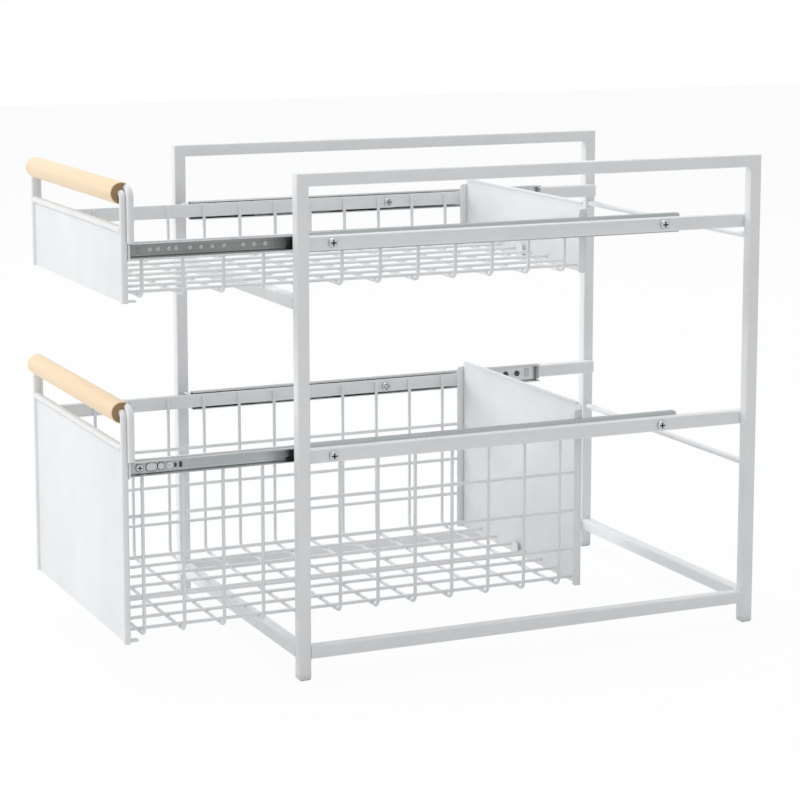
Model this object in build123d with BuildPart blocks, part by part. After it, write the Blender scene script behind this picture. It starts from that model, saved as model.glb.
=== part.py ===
"""Two-tier pull-out cabinet basket: a square-tube frame that carries two wire baskets on ball-bearing slides.

Millimetres, +Z up, +Y towards the back of the cabinet. The origin is on the floor, midway between the
sides and midway between the lower grip's front and the frame's back. Both baskets are modelled part
way out, which is the rest pose: a basket is closed when it goes back by its own pull-out.
"""

from build123d import *
from dataclasses import dataclass
from math import cos, radians, sin
import os

# ---------------------------------------------------------------- frame
FRAME_WIDTH = 318.0
FRAME_DEPTH = 447.0
FRAME_HEIGHT = 430.0
TUBE = 11.0
TUBE_WALL = 1.0
TUBE_CORNER = 1.5
BOTTOM_RAIL_LIFT = 18.5
CAP_HEAD = 5.0
CAP_SPIGOT = 10.0
CAP_CORNER = 2.0
CAP_PLAY = 0.1
RAIL_HEIGHT = 12.0
RAIL_SETBACK = TUBE / 2
UPPER_SLIDE_Z = 370.0
LOWER_SLIDE_Z = 190.0
FRONT_BAR_LIFT = 316.0
TIE_DIAMETER = 5.6
UPPER_TIE_Z = 356.5
MIDDLE_TIE_Z = 148.0

# ---------------------------------------------------------------- ball-bearing slides
SLIDE_HEIGHT = 17.0
SLIDE_DEPTH = 10.0
SLIDE_STEEL = 1.1
OUTER_LENGTH = 367.0
OUTER_SETBACK = 9.0
OUTER_FLANGE = 8.4
INNER_LENGTH = 349.0
INNER_HEIGHT = 12.0
INNER_STEEL = 1.0
INNER_FLANGE = 7.4
INNER_HOLE = 4.0
INNER_HOLE_SETBACKS = (19.1, 26.0, 35.4, 41.4, 53.5, 63.0, 72.6, 83.0, 99.7, 109.4, 119.2)
BALL_DIAMETER = 2.0
BALL_PLAY = 0.1
BALL_LINE = 4.9
BALL_COUNT = 4
BALL_PITCH = 18.0
CAGE_LENGTH = 78.0
CAGE_STEEL = 0.7
CAGE_FLANGE = 5.0
CAGE_GAP = 0.35
CAGE_WINDOW = 2.4
CAGE_FRONT_WHEN_OPEN = 3.0
LEVER_SETBACK = 134.0
LEVER_LENGTH = 42.0
LEVER_NOSE = 8.0
LEVER_THICKNESS = 4.0
LEVER_PLAY = 0.3
RAIL_SCREW_FIRST = 36.5
RAIL_SCREW_PITCH = 317.0
RAIL_SCREW_SHANK = 4.0
RAIL_SCREW_HEAD = 8.5
RAIL_SCREW_HEAD_HEIGHT = 2.8
SCREW_PLAY = 0.1
HEAD_CHAMFER = 0.9
SCREW_SIDES = 8
RECESS_LENGTH = 0.55
RECESS_WIDTH = 0.12
RECESS_DEPTH = 1.2

# ---------------------------------------------------------------- travel
UPPER_PULL_OUT = 139.0
LOWER_PULL_OUT = 141.5
FURTHER_OUT = 120.0
CLOSED_GAP = 0.5

# ---------------------------------------------------------------- handle and front
ROD = 6.0
ROD_SIDES = 12
BEND_CUT_COUNT = 3
LEG_BEYOND_STRIP = 4.0
LEG_BEND = 4.5
GRIP_DIAMETER = 18.4
GRIP_BORE_PLAY = 0.15
GRIP_BORE_DEPTH = 16.0
GRIP_INSERT = 12.0
GRIP_END_CHAMFER = 0.6
GRIP_ABOVE_CROSSBAR = 29.5
BRACE_OUT = 4.2
BRACE_BACK = 4.6
BRACE_SIDES = 8
CROSSBAR_ABOVE_SLIDE = 17.5
UPPER_PANEL_BELOW_SLIDE = 42.5
LOWER_PANEL_BELOW_SLIDE = 147.0
SHEET = 1.2
TAB_LENGTH = 11.0
TAB_WIDTH = 8.0
BRACKET_INSIDE = 1.0
BRACKET_OUTSIDE = 3.0
BRACKET_STEEL = 1.5
BRACKET_DROP = 8.0

# ---------------------------------------------------------------- wire baskets
WIRE = 3.0
WIRE_SIDES = 6
WELD_GAP = 0.05
BASKET_LENGTH = 430.0
FIRST_HOOP = 17.5
HOOP_PITCH = 35.4
HOOP_COUNT = 12
HOOP_BEND = 6.0
HOOP_CUT_COUNT = 2
FLOOR_WIRE_COUNT = 8
FLOOR_WIRE_PITCH = 32.0
FLOOR_ABOVE_PANEL_EDGE = 2.0
SIDE_WIRE_PITCH = 35.0
UPPER_SIDE_WIRE_COUNT = 0
LOWER_SIDE_WIRE_COUNT = 3
SIDE_WIRE_BELOW_SLIDE = 42.5
STRIP_THICKNESS = 2.5
STRIP_HEIGHT = 12.0
STRIP_BELOW_SLIDE = 5.0
HOOP_TOP_GAP = 1.5
REAR_RETURN = 6.5
REAR_CORNER = 6.0
REAR_HEM = 2.0
REAR_ABOVE_CROSSBAR = 3.0
DRAWER_SCREW_SHANK = 3.5
DRAWER_SCREW_HEAD = 7.0
DRAWER_SCREW_HEAD_HEIGHT = 1.8
DRAWER_SCREW_TIP = 2.0
FRONT_SCREW_SETBACK = 9.5
REAR_SCREW_SETBACK = 7.0
CLIP_STEEL = 1.2
CLIP_WIDTH = 11.0
CLIP_HEIGHT = 12.0
CLIP_HOOK = 4.0

# ---------------------------------------------------------------- worked out
GRIP_PROUD = LOWER_PULL_OUT + CLOSED_GAP + GRIP_DIAMETER / 2
FRONT = (GRIP_PROUD - FRAME_DEPTH) / 2
REAR = FRONT + FRAME_DEPTH
OUTSIDE = FRAME_WIDTH / 2
POST_INSIDE = OUTSIDE - TUBE
RAIL_INSIDE = POST_INSIDE - TUBE
STRIP_OUTSIDE = RAIL_INSIDE - SLIDE_DEPTH
STRIP_INSIDE = STRIP_OUTSIDE - STRIP_THICKNESS
HOOP_X = STRIP_INSIDE - WIRE / 2
FLOOR_HALF = HOOP_X - HOOP_BEND
REAR_HALF = HOOP_X - WIRE / 2
LEG_X = STRIP_OUTSIDE + LEG_BEYOND_STRIP
GRIP_HALF = LEG_X - LEG_BEND
BALL_Z = (SLIDE_HEIGHT / 2 - SLIDE_STEEL + INNER_HEIGHT / 2) / 2
GROOVE = BALL_DIAMETER / 2 + BALL_PLAY
OUTER_FRONT = FRONT + OUTER_SETBACK
SIDES = (("left", -1), ("right", 1))


@dataclass(frozen=True)
class Tier:
    """One basket with its front: its name, slide height and the sizes that differ between the two."""

    name: str
    slide_z: float
    pull_out: float
    panel_below_slide: float
    side_wires: int

    @property
    def leg_y(self) -> float:
        """Centre of the front's two legs, with the basket part way out."""
        return FRONT - CLOSED_GAP - self.pull_out

    @property
    def crossbar_z(self) -> float:
        return self.slide_z + CROSSBAR_ABOVE_SLIDE

    @property
    def grip_z(self) -> float:
        return self.crossbar_z + GRIP_ABOVE_CROSSBAR

    @property
    def panel_bottom(self) -> float:
        return self.slide_z - self.panel_below_slide

    @property
    def hoop_z(self) -> float:
        """Centre of the hoops where they cross under the floor."""
        return self.panel_bottom + FLOOR_ABOVE_PANEL_EDGE + WIRE / 2

    @property
    def strip_bottom(self) -> float:
        return self.slide_z - STRIP_BELOW_SLIDE

    @property
    def strip_top(self) -> float:
        return self.strip_bottom + STRIP_HEIGHT

    @property
    def sheet_back(self) -> float:
        """Back face of the front panel's sheet."""
        return self.leg_y + SHEET / 2

    @property
    def bracket_back(self) -> float:
        return self.leg_y + ROD / 2 + BRACKET_STEEL

    @property
    def rear_face(self) -> float:
        """Back face of the basket's rear panel."""
        return self.leg_y + BASKET_LENGTH

    @property
    def screw_ys(self) -> tuple[float, float]:
        front = self.bracket_back + FRONT_SCREW_SETBACK
        return front, self.bracket_back + INNER_LENGTH - REAR_SCREW_SETBACK

    @property
    def hoop_ys(self) -> list[float]:
        return [self.leg_y + FIRST_HOOP + HOOP_PITCH * k for k in range(HOOP_COUNT)]


UPPER = Tier("upper", UPPER_SLIDE_Z, UPPER_PULL_OUT, UPPER_PANEL_BELOW_SLIDE, UPPER_SIDE_WIRE_COUNT)
LOWER = Tier("lower", LOWER_SLIDE_Z, LOWER_PULL_OUT, LOWER_PANEL_BELOW_SLIDE, LOWER_SIDE_WIRE_COUNT)
TIERS = (UPPER, LOWER)
RAIL_SCREW_YS = (FRONT + RAIL_SCREW_FIRST, FRONT + RAIL_SCREW_FIRST + RAIL_SCREW_PITCH)

os.makedirs("parts", exist_ok=True)


# ---------------------------------------------------------------- frame tubes
def cut_corner_square(height: float, corner: float) -> None:
    """Draw a tube's outline with small cut corners in the sketch that is open."""
    side = TUBE / 2
    top = height / 2
    Polygon(
        (side, top - corner),
        (side - corner, top),
        (corner - side, top),
        (-side, top - corner),
        (-side, corner - top),
        (corner - side, -top),
        (side - corner, -top),
        (side, corner - top),
    )


def tube_section(height: float = TUBE) -> None:
    """Draw the hollow tube section in the sketch that is open."""
    cut_corner_square(height, TUBE_CORNER)
    Rectangle(TUBE - 2 * TUBE_WALL, height - 2 * TUBE_WALL, mode=Mode.SUBTRACT)


for side, sign in SIDES:
    tube_x = sign * (OUTSIDE - TUBE / 2)

    # The posts and the top rail meet in mitres, so no open tube end shows at the top corners.
    for end, post_y, lean in (("front", FRONT + TUBE / 2, 1), ("rear", REAR - TUBE / 2, -1)):
        mitre = Plane(
            origin=(tube_x, post_y, FRAME_HEIGHT - TUBE / 2),
            x_dir=(1, 0, 0),
            z_dir=(0, lean, 1),
        )
        with BuildPart() as post:
            with BuildSketch(Plane.XY.offset(CAP_HEAD)):
                with Locations((tube_x, post_y)):
                    tube_section()
            extrude(amount=FRAME_HEIGHT - CAP_HEAD)
            split(bisect_by=mitre, keep=Keep.BOTTOM)
        post.part.label = f"{side}_{end}_post"
        export_step(post.part, f"parts/{side}_{end}_post.step")

    with BuildPart() as top_rail:
        with BuildSketch(Plane.XZ.offset(-FRONT)):
            with Locations((tube_x, FRAME_HEIGHT - TUBE / 2)):
                tube_section()
        extrude(amount=-FRAME_DEPTH)
        for post_y, lean in ((FRONT + TUBE / 2, 1), (REAR - TUBE / 2, -1)):
            mitre = Plane(
                origin=(tube_x, post_y, FRAME_HEIGHT - TUBE / 2),
                x_dir=(1, 0, 0),
                z_dir=(0, lean, 1),
            )
            split(bisect_by=mitre, keep=Keep.TOP)
    top_rail.part.label = f"{side}_top_rail"
    export_step(top_rail.part, f"parts/{side}_top_rail.step")

    with BuildPart() as bottom_rail:
        with BuildSketch(Plane.XZ.offset(-(FRONT + TUBE))):
            with Locations((tube_x, BOTTOM_RAIL_LIFT + TUBE / 2)):
                tube_section()
        extrude(amount=-(FRAME_DEPTH - 2 * TUBE))
    bottom_rail.part.label = f"{side}_bottom_rail"
    export_step(bottom_rail.part, f"parts/{side}_bottom_rail.step")

    # The slide rails are welded to the posts' inner faces, and drilled for the slides' screws.
    for tier in TIERS:
        with BuildPart() as slide_rail:
            with BuildSketch(Plane.XZ.offset(-(FRONT + RAIL_SETBACK))):
                with Locations((sign * (POST_INSIDE - TUBE / 2), tier.slide_z)):
                    tube_section(RAIL_HEIGHT)
            extrude(amount=-(FRAME_DEPTH - 2 * RAIL_SETBACK))
            with BuildSketch(Plane.YZ):
                with Locations(*[(y, tier.slide_z) for y in RAIL_SCREW_YS]):
                    RegularPolygon(RAIL_SCREW_SHANK / 2 + SCREW_PLAY, SCREW_SIDES, major_radius=False)
            extrude(amount=sign * OUTSIDE, mode=Mode.SUBTRACT)
        slide_rail.part.label = f"{side}_{tier.name}_slide_rail"
        export_step(slide_rail.part, f"parts/{side}_{tier.name}_slide_rail.step")

BARS = (
    ("front_bottom_bar", FRONT + TUBE / 2, BOTTOM_RAIL_LIFT),
    ("rear_bottom_bar", REAR - TUBE / 2, BOTTOM_RAIL_LIFT),
    ("front_upper_bar", FRONT + TUBE / 2, FRONT_BAR_LIFT),
)
for bar_name, bar_y, bar_bottom in BARS:
    with BuildPart() as bar:
        with BuildSketch(Plane.YZ.offset(-POST_INSIDE)):
            with Locations((bar_y, bar_bottom + TUBE / 2)):
                tube_section()
        extrude(amount=2 * POST_INSIDE)
    bar.part.label = bar_name
    export_step(bar.part, f"parts/{bar_name}.step")

with BuildPart() as rear_ties:
    with BuildSketch(Plane.YZ.offset(-POST_INSIDE)):
        with Locations((REAR - TUBE / 2, UPPER_TIE_Z), (REAR - TUBE / 2, MIDDLE_TIE_Z)):
            Circle(TIE_DIAMETER / 2)
    extrude(amount=2 * POST_INSIDE)
rear_ties.part.label = "rear_ties"
export_step(rear_ties.part, "parts/rear_ties.step")

# A moulded cap plugs the foot of each post.
FOOT_SPOTS = [(x * (OUTSIDE - TUBE / 2), y) for x in (-1, 1) for y in (FRONT + TUBE / 2, REAR - TUBE / 2)]
with BuildPart() as foot_caps:
    with BuildSketch():
        with Locations(*FOOT_SPOTS):
            cut_corner_square(TUBE, CAP_CORNER)
    extrude(amount=CAP_HEAD)
    chamfer(foot_caps.edges().group_by(Axis.Z)[0], TUBE_WALL)
    with BuildSketch(Plane.XY.offset(CAP_HEAD)):
        with Locations(*FOOT_SPOTS):
            Rectangle(TUBE - 2 * TUBE_WALL - 2 * CAP_PLAY, TUBE - 2 * TUBE_WALL - 2 * CAP_PLAY)
    extrude(amount=CAP_SPIGOT)
foot_caps.part.label = "foot_caps"
export_step(foot_caps.part, "parts/foot_caps.step")


# ---------------------------------------------------------------- ball-bearing slides
def slide_x(sign: int, inward: float) -> float:
    """Place a distance measured inward from the slide rail's inner face on the given side."""
    return sign * (RAIL_INSIDE - inward)


def channel_section(sign: int, back: float, tip: float, height: float, steel: float) -> None:
    """Draw a C channel between two distances from the rail's inner face, its web at the first one."""
    web_to_tip = 1 if tip > back else -1
    middle = slide_x(sign, (back + tip) / 2)
    with Locations((middle, 0)):
        Rectangle(abs(tip - back), height)
    with Locations((slide_x(sign, (back + tip + steel * web_to_tip) / 2), 0)):
        Rectangle(abs(tip - back) - steel, height - 2 * steel, mode=Mode.SUBTRACT)


for tier in TIERS:
    for side, sign in SIDES:
        ball_line = [(slide_x(sign, BALL_LINE), BALL_Z), (slide_x(sign, BALL_LINE), -BALL_Z)]

        # Outer member: a C channel screwed to the rail, grooved inside for the balls.
        with BuildPart() as outer:
            with BuildSketch(Plane.XZ.offset(-OUTER_FRONT)):
                channel_section(sign, 0, OUTER_FLANGE, SLIDE_HEIGHT, SLIDE_STEEL)
                with Locations(*ball_line):
                    Circle(GROOVE, mode=Mode.SUBTRACT)
            extrude(amount=-OUTER_LENGTH)
            with BuildSketch(Plane.YZ.offset(sign * RAIL_INSIDE)):
                with Locations(*[(y, 0) for y in RAIL_SCREW_YS]):
                    RegularPolygon(RAIL_SCREW_SHANK / 2 + SCREW_PLAY, SCREW_SIDES, major_radius=False)
            extrude(amount=-sign * SLIDE_STEEL, mode=Mode.SUBTRACT)
            outer.part.position += (0, 0, tier.slide_z)
        outer.part.label = f"{tier.name}_{side}_slide_outer"
        export_step(outer.part, f"parts/{tier.name}_{side}_slide_outer.step")

        # Inner member: the opposite channel, screwed to the basket's strip and grooved outside.
        with BuildPart() as inner:
            with BuildSketch(Plane.XZ.offset(-tier.bracket_back)):
                channel_section(sign, SLIDE_DEPTH, SLIDE_DEPTH - INNER_FLANGE, INNER_HEIGHT, INNER_STEEL)
                with Locations(*ball_line):
                    Circle(GROOVE, mode=Mode.SUBTRACT)
            extrude(amount=-INNER_LENGTH)
            with BuildSketch(Plane.YZ.offset(sign * STRIP_OUTSIDE)):
                with Locations(*[(y, 0) for y in tier.screw_ys]):
                    RegularPolygon(DRAWER_SCREW_SHANK / 2 + SCREW_PLAY, SCREW_SIDES, major_radius=False)
            extrude(amount=sign * INNER_STEEL, mode=Mode.SUBTRACT)
            with BuildSketch(Plane.YZ.offset(sign * STRIP_OUTSIDE)):
                with Locations(*[(tier.bracket_back + setback, 0) for setback in INNER_HOLE_SETBACKS]):
                    RegularPolygon(INNER_HOLE / 2, SCREW_SIDES, major_radius=False)
            extrude(amount=sign * INNER_STEEL, mode=Mode.SUBTRACT)
            inner.part.position += (0, 0, tier.slide_z)
        inner.part.label = f"{tier.name}_{side}_slide_inner"
        export_step(inner.part, f"parts/{tier.name}_{side}_slide_inner.step")

        # Ball cage: a thin channel between the two, with a window for each ball. It travels half as far.
        cage_front = OUTER_FRONT + CAGE_FRONT_WHEN_OPEN + FURTHER_OUT / 2
        cage_back = SLIDE_STEEL + CAGE_GAP
        cage_half = BALL_Z + CAGE_STEEL / 2
        with BuildPart() as cage:
            with BuildSketch(Plane.XZ.offset(-cage_front)):
                channel_section(sign, cage_back, cage_back + CAGE_FLANGE, 2 * cage_half, CAGE_STEEL)
            extrude(amount=-CAGE_LENGTH)
            with BuildSketch(Plane.XY.offset(-cage_half)):
                with Locations((slide_x(sign, BALL_LINE), cage_front + CAGE_LENGTH / 2)):
                    with GridLocations(0, BALL_PITCH, 1, BALL_COUNT):
                        Rectangle(CAGE_WINDOW, CAGE_WINDOW)
            extrude(amount=2 * cage_half, mode=Mode.SUBTRACT)
            cage.part.position += (0, 0, tier.slide_z)
        cage.part.label = f"{tier.name}_{side}_ball_cage"
        export_step(cage.part, f"parts/{tier.name}_{side}_ball_cage.step")


# ---------------------------------------------------------------- screws
def cross_recess(head: float) -> None:
    """Draw the cross of a screw's recess in the sketch that is open."""
    Rectangle(RECESS_LENGTH * head, RECESS_WIDTH * head)
    Rectangle(RECESS_WIDTH * head, RECESS_LENGTH * head)


rail_spots = [(y, tier.slide_z) for y in RAIL_SCREW_YS for tier in TIERS]
with BuildPart() as rail_screws:
    for side, sign in SIDES:
        with BuildSketch(Plane.YZ.offset(sign * POST_INSIDE)):
            with Locations(*rail_spots):
                RegularPolygon(RAIL_SCREW_HEAD / 2, SCREW_SIDES, major_radius=False)
        extrude(amount=sign * RAIL_SCREW_HEAD_HEIGHT)
        with BuildSketch(Plane.YZ.offset(sign * POST_INSIDE)):
            with Locations(*rail_spots):
                RegularPolygon(RAIL_SCREW_SHANK / 2, SCREW_SIDES, major_radius=False)
        extrude(amount=-sign * (TUBE + SLIDE_STEEL))
    chamfer(rail_screws.edges().group_by(Axis.X)[0], HEAD_CHAMFER)
    chamfer(rail_screws.edges().group_by(Axis.X)[-1], HEAD_CHAMFER)
    for side, sign in SIDES:
        with BuildSketch(Plane.YZ.offset(sign * (POST_INSIDE + RAIL_SCREW_HEAD_HEIGHT))):
            with Locations(*rail_spots):
                cross_recess(RAIL_SCREW_HEAD)
        extrude(amount=-sign * RECESS_DEPTH, mode=Mode.SUBTRACT)
rail_screws.part.label = "rail_screws"
export_step(rail_screws.part, "parts/rail_screws.step")


# ---------------------------------------------------------------- baskets
def bend(centre: tuple, radius: float, sign: int, rise: int, cuts: int) -> list:
    """List the corners of a quarter bend, from the upright rod at the side to the level rod inside it."""
    corners = []
    for k in range(cuts):
        angle = radians(90 * (k + 1 / 2) / cuts)
        reach = radius / cos(radians(90 / (2 * cuts)))
        corners.append((centre[0] + sign * reach * cos(angle), centre[1] + rise * reach * sin(angle)))
    return corners


for tier in TIERS:
    spots = [(y, tier.slide_z) for y in tier.screw_ys]
    web_face = STRIP_OUTSIDE + INNER_STEEL
    reach = INNER_STEEL + STRIP_THICKNESS + DRAWER_SCREW_TIP

    for side, sign in SIDES:
        # Leg: a rod up the front's edge, bent inwards at the top and pushed into the end of the grip.
        with BuildPart() as leg:
            with BuildLine(Plane.XZ.offset(-tier.leg_y)):
                Polyline(
                    (sign * LEG_X, tier.panel_bottom),
                    *bend((sign * GRIP_HALF, tier.grip_z - LEG_BEND), LEG_BEND, sign, 1, BEND_CUT_COUNT),
                    (sign * (GRIP_HALF - GRIP_INSERT), tier.grip_z),
                )
            with BuildSketch(Plane.XY.offset(tier.panel_bottom)):
                with Locations((sign * LEG_X, tier.leg_y)):
                    RegularPolygon(ROD / 2, ROD_SIDES, major_radius=False, rotation=180 / ROD_SIDES)
            sweep(transition=Transition.RIGHT)
        leg.part.label = f"{tier.name}_{side}_leg"
        export_step(leg.part, f"parts/{tier.name}_{side}_leg.step")

        # Strip: the flat bar along the basket's top edge, which the hoops and the slide are fixed to.
        with BuildPart() as strip:
            with BuildSketch(Plane.XZ.offset(-tier.bracket_back)):
                strip_x = sign * (STRIP_INSIDE + STRIP_THICKNESS / 2)
                with Locations((strip_x, tier.strip_bottom + STRIP_HEIGHT / 2)):
                    Rectangle(STRIP_THICKNESS, STRIP_HEIGHT)
            extrude(amount=-(tier.rear_face - tier.bracket_back))
            with BuildSketch(Plane.YZ):
                with Locations(*spots):
                    RegularPolygon(DRAWER_SCREW_SHANK / 2 + SCREW_PLAY, SCREW_SIDES, major_radius=False)
            extrude(amount=sign * OUTSIDE, mode=Mode.SUBTRACT)
        strip.part.label = f"{tier.name}_{side}_strip"
        export_step(strip.part, f"parts/{tier.name}_{side}_strip.step")

        # Side grid: the hoops' upright ends, each bent under the floor, and the wires along them.
        with BuildPart() as side_grid:
            hoop_top = tier.strip_top - HOOP_TOP_GAP
            for hoop_y in tier.hoop_ys:
                bend_centre = (sign * FLOOR_HALF, tier.hoop_z + HOOP_BEND)
                with BuildLine(Plane.XZ.offset(-hoop_y)):
                    Polyline(
                        (sign * HOOP_X, hoop_top),
                        *bend(bend_centre, HOOP_BEND, sign, -1, HOOP_CUT_COUNT),
                        (sign * FLOOR_HALF, tier.hoop_z),
                    )
                hoop_end = Plane(origin=(sign * HOOP_X, hoop_y, hoop_top), x_dir=(1, 0, 0), z_dir=(0, 0, -1))
                with BuildSketch(hoop_end):
                    RegularPolygon(WIRE / 2, WIRE_SIDES, major_radius=False, rotation=180 / WIRE_SIDES)
                sweep(transition=Transition.RIGHT)
            wire_end = tier.rear_face - SHEET - REAR_RETURN
            for k in range(tier.side_wires):
                wire_z = tier.slide_z - SIDE_WIRE_BELOW_SLIDE - k * SIDE_WIRE_PITCH
                with BuildSketch(Plane.XZ.offset(-tier.sheet_back)):
                    with Locations((sign * (HOOP_X - WIRE - WELD_GAP), wire_z)):
                        RegularPolygon(WIRE / 2, WIRE_SIDES, major_radius=False, rotation=180 / WIRE_SIDES)
                extrude(amount=-(wire_end - tier.sheet_back))
        side_grid.part.label = f"{tier.name}_{side}_grid"
        export_step(side_grid.part, f"parts/{tier.name}_{side}_grid.step")

    # Floor grid: the hoops' level middles with the lengthwise wires lying on them.
    with BuildPart() as floor_grid:
        with BuildSketch(Plane.YZ.offset(-FLOOR_HALF)):
            with Locations(*[(y, tier.hoop_z) for y in tier.hoop_ys]):
                RegularPolygon(WIRE / 2, WIRE_SIDES, major_radius=False)
        extrude(amount=2 * FLOOR_HALF)
        with BuildSketch(Plane.XZ.offset(-tier.sheet_back)):
            with Locations((0, tier.hoop_z + WIRE + WELD_GAP)):
                with GridLocations(FLOOR_WIRE_PITCH, 0, FLOOR_WIRE_COUNT, 1):
                    RegularPolygon(WIRE / 2, WIRE_SIDES, major_radius=False)
        extrude(amount=-(tier.rear_face - SHEET - tier.sheet_back))
    floor_grid.part.label = f"{tier.name}_floor_grid"
    export_step(floor_grid.part, f"parts/{tier.name}_floor_grid.step")

    with BuildPart() as crossbar:
        with BuildSketch(Plane.YZ.offset(-(LEG_X - ROD / 2))):
            with Locations((tier.leg_y, tier.crossbar_z)):
                RegularPolygon(ROD / 2, ROD_SIDES, major_radius=False, rotation=180 / ROD_SIDES)
        extrude(amount=2 * LEG_X - ROD)
    crossbar.part.label = f"{tier.name}_crossbar"
    export_step(crossbar.part, f"parts/{tier.name}_crossbar.step")

    # Grip: a turned wooden bar, bored at both ends for the legs.
    with BuildPart() as grip:
        with BuildSketch(Plane.YZ.offset(-GRIP_HALF)):
            with Locations((tier.leg_y, tier.grip_z)):
                Circle(GRIP_DIAMETER / 2)
        extrude(amount=2 * GRIP_HALF)
        chamfer(grip.edges().filter_by(GeomType.CIRCLE), GRIP_END_CHAMFER)
        for side, sign in SIDES:
            with BuildSketch(Plane.YZ.offset(sign * GRIP_HALF)):
                with Locations((tier.leg_y, tier.grip_z)):
                    Circle(ROD / 2 + GRIP_BORE_PLAY)
            extrude(amount=-sign * GRIP_BORE_DEPTH, mode=Mode.SUBTRACT)
    grip.part.label = f"{tier.name}_grip"
    export_step(grip.part, f"parts/{tier.name}_grip.step")

    # Braces: a second rod behind and outside each leg, following its bend up to the grip's end.
    with BuildPart() as braces:
        brace_y = tier.leg_y + BRACE_BACK
        for side, sign in SIDES:
            brace_x = sign * (LEG_X + BRACE_OUT)
            bend_centre = (sign * GRIP_HALF, tier.grip_z - LEG_BEND)
            with BuildLine(Plane.XZ.offset(-brace_y)):
                Polyline(
                    (brace_x, tier.strip_top),
                    *bend(bend_centre, LEG_BEND + BRACE_OUT, sign, 1, BEND_CUT_COUNT),
                    (sign * GRIP_HALF, tier.grip_z + BRACE_OUT),
                )
            with BuildSketch(Plane.XY.offset(tier.strip_top)):
                with Locations((brace_x, brace_y)):
                    RegularPolygon(ROD / 2, BRACE_SIDES, major_radius=False, rotation=180 / BRACE_SIDES)
            sweep(transition=Transition.RIGHT)
    braces.part.label = f"{tier.name}_handle_braces"
    export_step(braces.part, f"parts/{tier.name}_handle_braces.step")

    # Front panel: sheet between the legs and under the crossbar, with a tab bent back at each lower corner.
    panel_half = LEG_X - ROD / 2
    with BuildPart() as front_panel:
        with BuildSketch(Plane.XY.offset(tier.panel_bottom)):
            with Locations((0, tier.leg_y)):
                Rectangle(2 * panel_half, SHEET)
        extrude(amount=tier.crossbar_z - ROD / 2 - tier.panel_bottom)
        with BuildSketch(Plane.XY.offset(tier.panel_bottom)):
            with Locations((0, tier.sheet_back + TAB_LENGTH / 2)):
                with GridLocations(2 * panel_half - TAB_WIDTH, 0, 2, 1):
                    Rectangle(TAB_WIDTH, TAB_LENGTH)
        extrude(amount=SHEET)
    front_panel.part.label = f"{tier.name}_front_panel"
    export_step(front_panel.part, f"parts/{tier.name}_front_panel.step")

    # Back panel: sheet with rounded top corners, a folded hem, side returns and two hooked tabs.
    panel_top = tier.crossbar_z + REAR_ABOVE_CROSSBAR
    panel_height = panel_top - tier.panel_bottom
    with BuildPart() as back_panel:
        with BuildSketch(Plane.XZ.offset(-tier.rear_face)) as outline:
            with Locations((0, tier.panel_bottom + panel_height / 2)):
                Rectangle(2 * REAR_HALF, panel_height)
            fillet(outline.vertices().group_by(Axis.Y)[-1], REAR_CORNER)
        extrude(amount=SHEET)
        with BuildSketch(Plane.XY.offset(tier.panel_bottom)):
            with Locations((0, tier.rear_face - SHEET - REAR_RETURN / 2)):
                with GridLocations(2 * REAR_HALF - SHEET, 0, 2, 1):
                    Rectangle(SHEET, REAR_RETURN)
        extrude(amount=panel_height - REAR_CORNER)
        with BuildSketch(Plane.XY.offset(panel_top - REAR_HEM)):
            with Locations((0, tier.rear_face - 3 * SHEET / 2)):
                Rectangle(2 * (REAR_HALF - REAR_CORNER), SHEET)
        extrude(amount=REAR_HEM)
        with BuildSketch(Plane.YZ.offset(-CLIP_WIDTH / 2)):
            with BuildLine():
                front = tier.rear_face - SHEET - CLIP_HOOK
                Polyline(
                    (tier.rear_face - SHEET, tier.panel_bottom),
                    (front, tier.panel_bottom),
                    (front, tier.panel_bottom + CLIP_HEIGHT),
                    (front + CLIP_STEEL, tier.panel_bottom + CLIP_HEIGHT),
                    (front + CLIP_STEEL, tier.panel_bottom + CLIP_STEEL),
                    (tier.rear_face - SHEET, tier.panel_bottom + CLIP_STEEL),
                    close=True,
                )
            make_face()
        extrude(amount=CLIP_WIDTH)
    back_panel.part.label = f"{tier.name}_back_panel"
    export_step(back_panel.part, f"parts/{tier.name}_back_panel.step")

    with BuildPart() as slide_screws:
        for side, sign in SIDES:
            with BuildSketch(Plane.YZ.offset(sign * web_face)):
                with Locations(*spots):
                    RegularPolygon(DRAWER_SCREW_HEAD / 2, SCREW_SIDES, major_radius=False)
            extrude(amount=sign * DRAWER_SCREW_HEAD_HEIGHT)
            with BuildSketch(Plane.YZ.offset(sign * web_face)):
                with Locations(*spots):
                    RegularPolygon(DRAWER_SCREW_SHANK / 2, SCREW_SIDES, major_radius=False)
            extrude(amount=-sign * reach)
            with BuildSketch(Plane.YZ.offset(sign * (web_face + DRAWER_SCREW_HEAD_HEIGHT))):
                with Locations(*spots):
                    cross_recess(DRAWER_SCREW_HEAD)
            extrude(amount=-sign * RECESS_DEPTH, mode=Mode.SUBTRACT)
    slide_screws.part.label = f"{tier.name}_slide_screws"
    export_step(slide_screws.part, f"parts/{tier.name}_slide_screws.step")

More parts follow.
